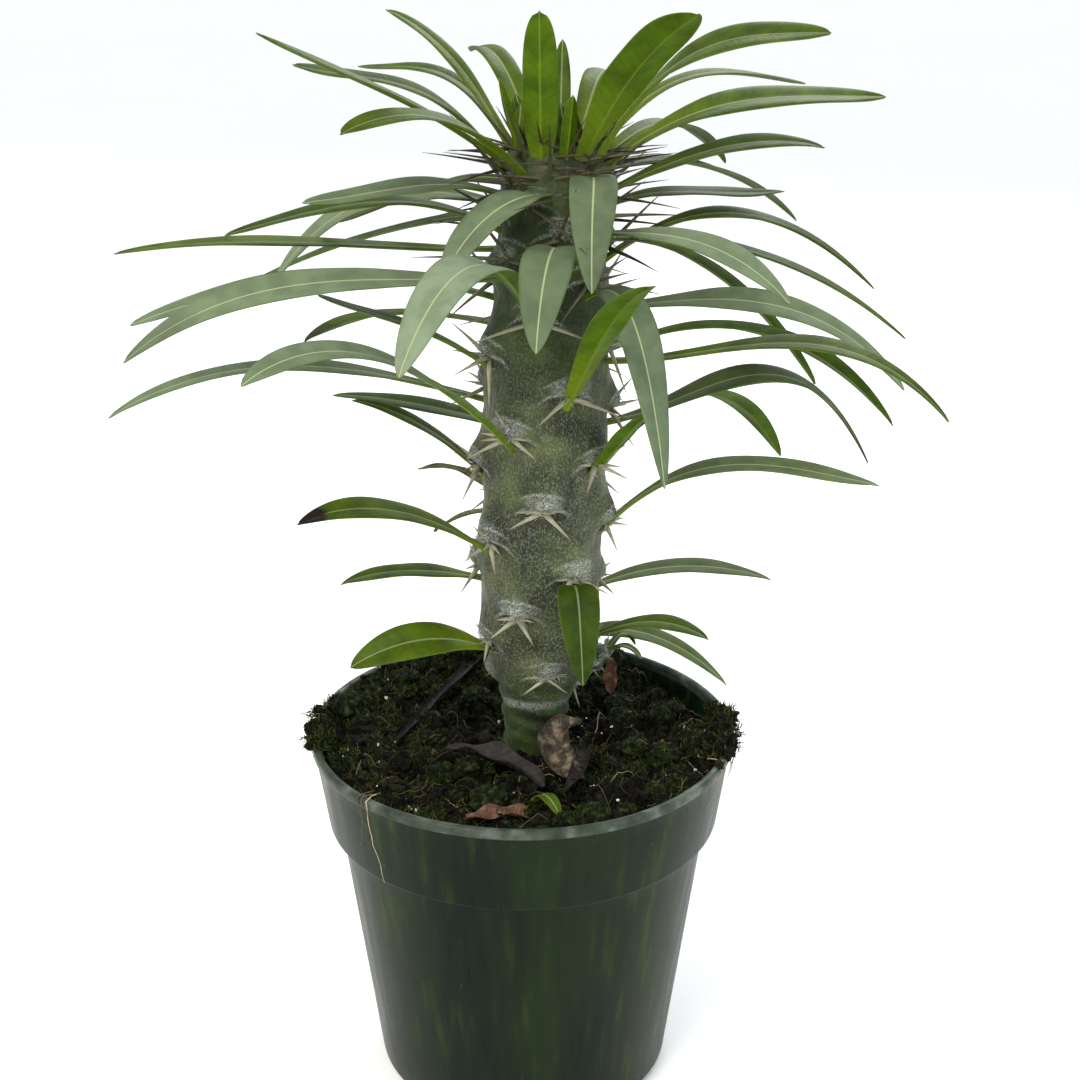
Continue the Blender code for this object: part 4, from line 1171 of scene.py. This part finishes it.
def leaf_skin(handles, widest, roll, chance, thin=0.45 * MM, curl=0.0, edge_wave=0.02, petiole=1.1 * MM,
              blunt=0.0, stalk_width=PETIOLE_WIDTH):
    """A closed leaf round a curve: its faces, and for each point where on the leaf it lies."""
    shares = 1 - (1 - np.linspace(0, 1, LEAF_STATIONS)) ** 1.15
    centre, way = along_curve(handles, shares)
    chord = handles[3] - handles[0]
    level = np.cross(np.array((chord[0], chord[1], 0.0)), UP)
    side = level - (way @ level)[:, None] * way
    side /= np.linalg.norm(side, axis=1, keepdims=True)
    upper = np.cross(side, way)
    turned = (roll * np.minimum(1, 2.5 * shares))[:, None]
    cos, sin = np.cos(turned), np.sin(turned)
    side, upper = cos * side - sin * upper, cos * upper + sin * side
    width = blade_width(shares, widest, blunt, stalk_width)[:, None]
    across = np.linspace(-1, 1, LEAF_ACROSS)[None, :]
    across = np.sign(across) * np.abs(across) ** 0.85
    from_rib = across * width / 2
    phase = 2 * np.pi * (2.2 * shares[:, None] + chance[0]) + 1.3 * np.sign(across)
    wave = edge_wave * widest * np.sin(phase)
    wave = wave * np.abs(across) ** 2 * smoothstep(shares[:, None] * 4)
    ends = smoothstep(shares[:, None] * 5)
    fold = KEEL * width * np.abs(across) ** 1.3 - 0.07 * width * ends * np.abs(across) ** 4
    bent = across * curl + 1e-6
    aside = np.where(curl > 0, np.sin(bent) / bent, 1.0) * from_rib
    middle = fold + wave + np.where(curl > 0, (1 - np.cos(bent)) / (abs(curl) + 1e-6), 0.0) * width / 2
    stalk = petiole * (1 - smoothstep(shares[:, None] / 0.16))
    thick = (thin + stalk) * (1 - 0.6 * np.abs(across) ** 3) * np.minimum(1, (1.02 - shares[:, None]) * 12)
    groove = 0.14 * MM * np.exp(-(from_rib / (0.5 * MM)) ** 2) * ends
    rib = (0.28 + 0.35 * (1 - shares[:, None])) * MM * np.exp(-(from_rib / (0.5 * MM)) ** 2) * ends
    top = middle + thick / 2 - groove
    low = middle - thick / 2 - rib
    aside = np.concatenate([np.broadcast_to(aside, top.shape), np.broadcast_to(aside, top.shape)[:, ::-1]], 1)
    raised = np.concatenate([top, low[:, ::-1]], 1)
    rings = centre[:, None] + aside[..., None] * side[:, None] + raised[..., None] * upper[:, None]
    vertices, faces = skin(rings[None], centre[:1] - way[:1] * 0.3 * MM, centre[-1:] + way[-1:] * 0.5 * MM)
    around = 2 * LEAF_ACROSS
    upper_face = np.tile(np.arange(around) < LEAF_ACROSS - 1, LEAF_STATIONS - 1)
    finish_of = np.where(upper_face, 0, 1)
    finish_of = np.append(finish_of, np.ones(2 * around))
    length = np.linalg.norm(np.diff(centre, axis=0), axis=1).sum()
    rib_mm = np.concatenate([np.abs(from_rib), np.abs(from_rib)[:, ::-1]], 1).ravel() / MM
    edge = np.tile(np.concatenate([np.abs(across[0]), np.abs(across[0])[::-1]]), LEAF_STATIONS)
    along = np.repeat(shares, around)
    grown = {
        "rib_mm": np.append(rib_mm, [0, 0]), "edge": np.append(edge, [0, 0]),
        "along": np.append(along, [0, 1]), "along_mm": np.append(along * length / MM, [0, length / MM])}
    return vertices, faces, finish_of, grown


def leaf_piece(name, handles, width, finishes, slot, replaces, chance, roll=0.0, marks=None, **shape):
    """Make one leaf; marks are numbers that hold for the whole leaf, such as its bloom and painted sheen."""
    vertices, faces, finish_of, grown = leaf_skin(handles, width, roll, chance, **shape)
    for key, value in (marks or {}).items():
        grown[key] = np.full(len(vertices), value)
    return make_piece(name, vertices, faces, finishes, slot, replaces, finish_of=finish_of, **grown)


def stands_for(name):
    """The CAD piece of that name, where there is one."""
    return [name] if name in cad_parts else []


# %% [markdown]
# The blades are leathery.  Seen from above they are deep green under a thin, pale blue-grey bloom
# of wax, a grey that is partly painted sky reflection; from below they are a brighter yellow-green,
# partly painted light that shines through the leaf, with dark cross-veins and a raised midrib.
# Both sides read the same few numbers kept at each point: the distance from the midrib, the
# distance along the leaf, and how young, how waxy with painted sheen, and how scorched this leaf is.

# %% Leaf finishes
VEIN_SPACING = 2.2          # mm along the midrib between two side veins


def vein_lines(tree, rib, along, sharpness):
    """Side veins that slant toward the tip: 1 on a vein and 0 between."""
    slant = add(tree, "Math", {0: rib, 1: -0.7, 2: along}, operation="MULTIPLY_ADD")
    turns = add(tree, "Math", {0: slant, 1: 2 * math.pi / VEIN_SPACING}, operation="MULTIPLY")
    wave = add(tree, "Math", {0: turns}, operation="SINE")
    return add(tree, "MapRange", {0: wave, 1: sharpness, 2: 1.0, 3: 0.0, 4: 1.0})


def leaf_face(name, plain, young, rib_colour, bloom_and_reflection_colour, bloom_and_reflection_most, vein_colour, vein_most, roughness,
              shine):
    made, tree, shader = finish(name, roughness, 1.45, Specular_IOR_Level=shine)
    place = add(tree, "TexCoord", out="Object")
    rib = add(tree, "Attribute", out="Fac", attribute_name="rib_mm")
    along_mm = add(tree, "Attribute", out="Fac", attribute_name="along_mm")
    along = add(tree, "Attribute", out="Fac", attribute_name="along")
    edge = add(tree, "Attribute", out="Fac", attribute_name="edge")
    youth = add(tree, "Attribute", out="Fac", attribute_name="youth")
    bloom_and_sheen = add(tree, "Attribute", out="Fac", attribute_name="bloom_and_sheen")
    scorch = add(tree, "Attribute", out="Fac", attribute_name="scorch")
    cloud = add(tree, "TexNoise", {"Vector": place, "Scale": 1 / (5 * MM), "Detail": 4.0})
    pore = add(tree, "TexNoise", {"Vector": place, "Scale": 1 / (0.5 * MM), "Detail": 2.0})
    old_ramp = add(tree, "ValToRGB", {0: cloud}, stops=[(0.32, srgb(plain[0])), (0.68, srgb(plain[1]))])
    young_ramp = add(tree, "ValToRGB", {0: cloud}, stops=[(0.32, srgb(young[0])), (0.68, srgb(young[1]))])
    green = add(tree, "Mix", {0: youth, 6: old_ramp, 7: young_ramp}, **MIX_COLOUR)
    # crown leaves pale to yellow-green toward the stalk
    stalk = add(tree, "MapRange", {0: along, 1: 0.05, 2: 0.40, 3: 0.8, 4: 0.0})
    stalk_part = add(tree, "Math", {0: stalk, 1: youth}, operation="MULTIPLY")
    green = add(tree, "Mix", {0: stalk_part, 6: green, 7: srgb("#74891c")}, **MIX_COLOUR)
    veins = vein_lines(tree, rib, along_mm, 0.55)
    vein_part = add(tree, "Math", {0: veins, 1: vein_most}, operation="MULTIPLY")
    veined = add(tree, "Mix", {0: vein_part, 6: green, 7: srgb(vein_colour)}, **MIX_COLOUR)
    # painted reflection, partly real: the pale bloom colour is partly wax and partly painted sky reflection
    rubbed = add(tree, "MapRange", {0: cloud, 1: 0.38, 2: 0.60, 3: 0.78, 4: 1.0})
    bloom_and_reflection_part = add(tree, "Math", {0: bloom_and_sheen, 1: rubbed}, operation="MULTIPLY")
    bloom_and_reflection_part = add(tree, "Math", {0: bloom_and_reflection_part, 1: bloom_and_reflection_most}, operation="MULTIPLY")
    bloom_and_reflection_mixed = add(tree, "Mix", {0: bloom_and_reflection_part, 6: veined, 7: srgb(bloom_and_reflection_colour)}, **MIX_COLOUR)
    # the midrib: a pale line about 0.7 mm wide that thins toward the tip
    thinning = add(tree, "MapRange", {0: along, 1: 0.0, 2: 1.0, 3: 0.42, 4: 0.16})
    rib_share = add(tree, "Math", {0: rib, 1: thinning}, operation="DIVIDE")
    rib_most = add(tree, "MapRange", {0: bloom_and_sheen, 1: 0.0, 2: 0.6, 3: 0.4, 4: 0.85})
    rib_line = add(tree, "MapRange", {0: rib_share, 1: 0.5, 2: 1.1, 3: rib_most, 4: 0.0})
    ribbed = add(tree, "Mix", {0: rib_line, 6: bloom_and_reflection_mixed, 7: srgb(rib_colour)}, **MIX_COLOUR)
    margin = add(tree, "MapRange", {0: edge, 1: 0.93, 2: 1.0, 3: 0.0, 4: 0.5})
    edged = add(tree, "Mix", {0: margin, 6: ribbed, 7: srgb("#5d6d30")}, **MIX_COLOUR)
    # a dried tip: brown to black over the last tenth, with a ragged yellow border
    ragged = add(tree, "Math", {0: cloud, 1: 0.25, 2: along}, operation="MULTIPLY_ADD")
    dry = add(tree, "ValToRGB", {0: ragged}, stops=[
        (0.0, (0, 0, 0, 1)), (0.96, (0, 0, 0, 1)), (1.0, (1, 1, 1, 1))])
    dry_part = add(tree, "Math", {0: dry, 1: scorch}, operation="MULTIPLY")
    dried = add(tree, "Mix", {0: dry_part, 6: edged, 7: srgb("#1d160e")}, **MIX_COLOUR)
    vein_relief = add(tree, "Math", {0: veins, 1: 0.6, 2: pore}, operation="MULTIPLY_ADD")
    bump = add(tree, "Bump", {"Height": vein_relief, "Strength": 0.35, "Distance": 0.12 * MM})
    gloss = add(tree, "MapRange", {0: bloom_and_reflection_part, 1: 0.0, 2: 0.7, 3: roughness - 0.06, 4: roughness + 0.10})
    plug(tree, shader, Base_Color=dried, Normal=bump, Roughness=gloss)
    return made


# the upper side's pale bloom is partly painted sky reflection, and the under side's brighter greens are
# partly painted light shining through the leaf
LEAF_UPPER = leaf_face("leathery_leaf_upper_side", ("#1b2a05", "#2b3d0a"), ("#324604", "#4b5f0a"), "#a0a87c",
                       "#78876d", 0.80, "#18260a", 0.10, 0.56, 0.12)
LEAF_UNDER = leaf_face("leathery_leaf_under_side", ("#2e4205", "#3f5608"), ("#374d03", "#4c6606"), "#768a2c",
                       "#93a888", 0.06, "#1e3304", 0.16, 0.58, 0.1)
LEAF_SIDES = [LEAF_UPPER, LEAF_UNDER]


def dried_blade(name, dark, middle, pale):
    """Dead leaf tissue: mottled brown with veins that stand out as it shrinks."""
    made, tree, shader = finish(name, 0.7, 1.45)
    place = add(tree, "TexCoord", out="Object")
    mottle = add(tree, "TexNoise", {"Vector": place, "Scale": 1 / (2.5 * MM), "Detail": 6.0,
                                    "Roughness": 0.65})
    ramp = add(tree, "ValToRGB", {0: mottle}, stops=[
        (0.32, srgb(dark)), (0.50, srgb(middle)), (0.68, srgb(pale))])
    rib = add(tree, "Attribute", out="Fac", attribute_name="rib_mm")
    along_mm = add(tree, "Attribute", out="Fac", attribute_name="along_mm")
    veins = vein_lines(tree, rib, along_mm, 0.3)
    relief = add(tree, "Math", {0: veins, 1: 0.5, 2: mottle}, operation="MULTIPLY_ADD")
    bump = add(tree, "Bump", {"Height": relief, "Strength": 0.9, "Distance": 0.4 * MM})
    plug(tree, shader, Base_Color=ramp, Normal=bump)
    return made


WITHERED = dried_blade("withered_leaf", "#2c3010", "#4d5218", "#77702c")
LITTER_DARK = dried_blade("decayed_leaf", "#0c0907", "#1a1410", "#352a22")
LITTER_BROWN = dried_blade("fallen_brown_leaf", "#1b150e", "#3f3425", "#857a62")
LITTER_RUST = dried_blade("fallen_rust_leaf", "#2c180d", "#4f3020", "#7d5a40")

# %% Grow the leaves
leaf_rng = np.random.default_rng(21)
# by node: how bright a leaf is, where its age alone doesn't say it, how thick its bloom with its painted
# sky reflection, how dry its tip
BRIGHT = {5: 1.0, 11: 0.3, 13: 0.8, 17: 0.7, 19: 0.6, 24: 0.9, 27: 0.6, 29: 0.1, 32: 0.1, 36: 0.9, 37: 0.1,
          38: 0.7, 50: 0.1, 53: 0.1, 63: 0.9}
BLOOM_AND_SKY_SHEEN = {4: 0.3, 9: 0.4, 14: 0.45, 21: 0.75, 22: 0.35, 23: 0.75, 25: 0.5, 29: 1.25, 30: 0.75, 31: 0.85,
        32: 0.72, 34: 0.85, 37: 0.62, 40: 0.9, 44: 0.95, 47: 0.6, 50: 0.8, 53: 0.58}
SCORCHED = {13: 1.0, 22: 0.4, 28: 0.6, 34: 0.25}
# degrees that a blade turns further toward the front than its plain CAD leaf, and the rest turn USUAL_TURN
USUAL_TURN = 8
FACE_TURN = {5: 18, 17: 0, 25: 0, 28: 0, 33: 0, 36: 14, 47: 14, 48: 18, 52: 12, 56: 32, 60: 14, 61: 40,
             66: -27}
# the crown's broad young blades: how much wider than the plain leaf, and how blunt at the tip
BROAD = {5: 1.1, 56: 1.15, 61: 1.2, 63: 1.1, 66: 1.08}
BLUNT = {52: 0.4, 55: 0.4, 63: 0.8, 66: 0.3}


def grow(leaf):
    node, heading, reach, lift, carry, tip, width, front_turn = leaf
    chance = leaf_rng.uniform(0, 1, 4)
    front_turn += FACE_TURN.get(node, USUAL_TURN)
    roll = math.radians(front_turn) * math.sin(math.radians(heading))
    withered = width <= WITHERED_WIDTH and leaf not in SMALL_LEAVES
    usual = float(np.interp(node, [12, 20, 50, 58], [0.5, 0.3, 0.35, 0.7])) + 0.2 * chance[1]
    youth = BRIGHT.get(node, usual)
    name = "leaf_%02d" % node
    return leaf_piece(
        name + "_blade", leaf_handles(node, heading, reach, lift, carry, tip),
        width * BROAD.get(node, 1.0) * MM,
        [WITHERED, WITHERED] if withered else LEAF_SIDES,
        "dried_leaf" if withered else ("young_leaf" if node >= 56 else "leaf"), stands_for(name), chance,
        roll,
        {"youth": youth, "bloom_and_sheen": BLOOM_AND_SKY_SHEEN.get(node, 0.0), "scorch": SCORCHED.get(node, 0.0)},
        edge_wave=0.08 if withered else 0.018, blunt=BLUNT.get(node, 0.0),
        stalk_width=PETIOLE_WIDTH * (1.4 if 46 < node < 67 else 1.0))


blades = [grow(leaf) for leaf in LEAVES + SMALL_LEAVES]
print("blades:", len(blades), "with", sum(len(b.data.polygons) for b in blades), "faces")

# %% [markdown]
# ## What lies on the soil
#
# A few leaves have dropped and are at different stages of decay: a long dark one across the front
# of the stem, a brown one curled up like a cup beside it, and strips by the rim.  They are made as
# leaves, with more curl and wave, and dead colours.  One green seedling leaf is coming up in front.

# %% Leaf litter and sprout
# four handles as x, y and height over the soil's top in mm, then width, curl in radians, wave and finish
LITTER = {
    "fallen_leaf_long": (
        [(-19, -10.5, 1.5), (-11, -16.5, 4.5), (-3, -22.5, 4.5), (5, -28, 1)], 8.0, 1.2, 0.10, LITTER_DARK),
    "fallen_leaf_curled": (
        [(14.5, -10, 8.5), (5.5, -15, 10), (4.5, -22, 3), (15, -25, 1)], 12.6, 1.6, 0.10, LITTER_BROWN),
    "decayed_scrap": ([(13, -12, 1), (15, -16, 5), (17, -21, 4), (10, -30, 0)], 6.0, 1.6, 0.15, LITTER_DARK),
    "rim_leaf": ([(-15, -40.5, -1.5), (-8, -42, 1), (-2, -41.5, 0.5), (3, -39, -1)],
                 6.0, 0.9, 0.12, LITTER_RUST),
    "dried_strip": ([(-33, -4, -1), (-26, 10, 1), (-19, 27, 2), (-10, 43, 4)], 4.2, 1.9, 0.12, LITTER_DARK),
    "rust_scrap": ([(33, -8, 0), (35, -9, 1.5), (36, -9, 1.5), (37.5, -8, 0.5)], 3.0, 1.0, 0.2, LITTER_RUST),
}
SPROUT = [(3, -32, -1), (5, -34, 3.5), (7, -38, 2.5), (8.5, -41, 0.2)]


def over_soil(handles):
    return [np.array((x * MM, y * MM, SOIL_TOP + high * MM)) for x, y, high in handles]


for litter_name, (handles, width, curl, wave, material) in LITTER.items():
    leaf_piece(litter_name + "_blade", over_soil(handles), width * MM, [material, material], "dried_leaf",
               stands_for(litter_name), leaf_rng.uniform(0, 1, 4), thin=0.35 * MM, curl=curl, edge_wave=wave,
               petiole=0.5 * MM)
leaf_piece("sprout_blade", over_soil(SPROUT), 3.6 * MM, LEAF_SIDES, "young_leaf", ["sprout_leaf"],
           leaf_rng.uniform(0, 1, 4), marks={"youth": 1.0, "bloom_and_sheen": 0.0, "scorch": 0.0}, petiole=0.4 * MM)
print("litter:", len(LITTER), "leaves and one sprout")

# %% [markdown]
# ## The pup
#
# Low on the right a side shoot has started: a blunt cone of the same bark with its own small
# spines, a tuft of tiny leaves, and one orange withered leaf that hangs from it.

# %% Side shoot
PUP_AZIMUTH, PUP_HEIGHT = 100.0, 18.0 * MM
PUP_SPINES, PUP_SPINE_STATIONS, PUP_SPINE_SIDES = 16, 8, 6
pup_rng = np.random.default_rng(3)
pup_out = horizontal(PUP_AZIMUTH)
pup_root = on_stem(PUP_AZIMUTH, PUP_HEIGHT, -1.5 * MM)
pup_way = pup_out * 0.9 + np.array((0, 0, 0.45))
pup_shares = np.linspace(0, 1, 30)
pup_path = pup_root + pup_way * (12 * MM) * pup_shares[:, None]
pup_radii = np.interp(pup_shares, [0, 0.3, 0.6, 0.85, 1.0], [3.0, 3.5, 3.3, 2.5, 0.8]) * MM
pup_radii += 0.25 * MM * np.sin(pup_shares * 26)
pup_vertices, pup_faces = tubes(lean(pup_path[None]), pup_radii[None], 40)
pup_rough = 0.3 * MM * wander(pup_vertices, 1.6 * MM, 12)
pup_vertices += (pup_vertices - pup_vertices.mean(axis=0)) / (5 * MM) * pup_rough[:, None]
pup_wool = 0.35 + 0.6 * wander(pup_vertices, 1.2 * MM, 13)
# the side shoot wears the stem's bark, with its hollow number painting shade into its dents
make_piece("side_shoot", pup_vertices, pup_faces, [BARK], "stem_skin", wool=np.clip(pup_wool, 0, 1),
           green=np.full(len(pup_vertices), 0.45), scar=np.zeros(len(pup_vertices)),
           hollow=np.clip(0.2 - wander(pup_vertices, 1.6 * MM, 12), 0, 1))

pup_spines = []
spine_shares = np.linspace(0, 1, PUP_SPINE_STATIONS)
for number in range(PUP_SPINES):
    turn = np.radians(GOLDEN_ANGLE * number)
    ring = np.cos(turn) * np.cross(pup_way, (0, 0, 1.0)) + np.sin(turn) * UP
    root = pup_root + pup_way * (3 + 9 * number / PUP_SPINES) * MM + ring * 2.6 * MM
    way = ring + pup_way * 0.5 + pup_rng.normal(0, 0.2, 3)
    pup_spines.append(root + way / np.linalg.norm(way) * (3.4 * spine_shares)[:, None] * MM)
pup_spine_radii = np.tile(0.22 * MM * (1 - spine_shares) + 0.03 * MM, (PUP_SPINES, 1))
pup_spine_vertices, pup_spine_faces = tubes(lean(np.array(pup_spines)), pup_spine_radii, PUP_SPINE_SIDES)
make_piece("side_shoot_spines", pup_spine_vertices, pup_spine_faces, [HORN], "stem_skin",
           tip=np.tile(np.append(np.repeat(spine_shares, PUP_SPINE_SIDES), [0, 1]), PUP_SPINES),
           young=np.zeros(len(pup_spine_vertices)))

pup_tip = lean(pup_path[-3])
for number, (turn, reach, rise) in enumerate([(-40, 9, 3), (20, 8, 5), (75, 7, 1)]):
    out = horizontal(PUP_AZIMUTH + turn)
    handles = [pup_tip, pup_tip + out * reach / 3 * MM + UP * rise * MM,
               pup_tip + out * reach * 2 / 3 * MM + UP * rise * MM, pup_tip + out * reach * MM]
    leaf_piece("side_shoot_leaf_%d" % (number + 1), handles, 2.8 * MM, LEAF_SIDES, "young_leaf", (),
               pup_rng.uniform(0, 1, 4), marks={"youth": 0.5, "bloom_and_sheen": 0.3, "scorch": 0.0}, thin=0.3 * MM,
               petiole=0.2 * MM)

hang_root = lean(pup_path[-6]) + np.array((0.8, -2.6, -1.0)) * MM
withered_handles = [hang_root + np.array(shift) * MM for shift in
                    [(0, 0, 0), (1.2, -1.0, -1.5), (1.2, -1.2, -5.0), (0.6, -0.8, -8.5)]]
leaf_piece("side_shoot_withered_leaf", withered_handles, 4.6 * MM, [LITTER_RUST, LITTER_RUST],
           "dried_leaf", (), pup_rng.uniform(0, 1, 4), 1.2, thin=0.3 * MM, curl=0.9, edge_wave=0.08,
           petiole=0.2 * MM)
print("side shoot with", PUP_SPINES, "spines")
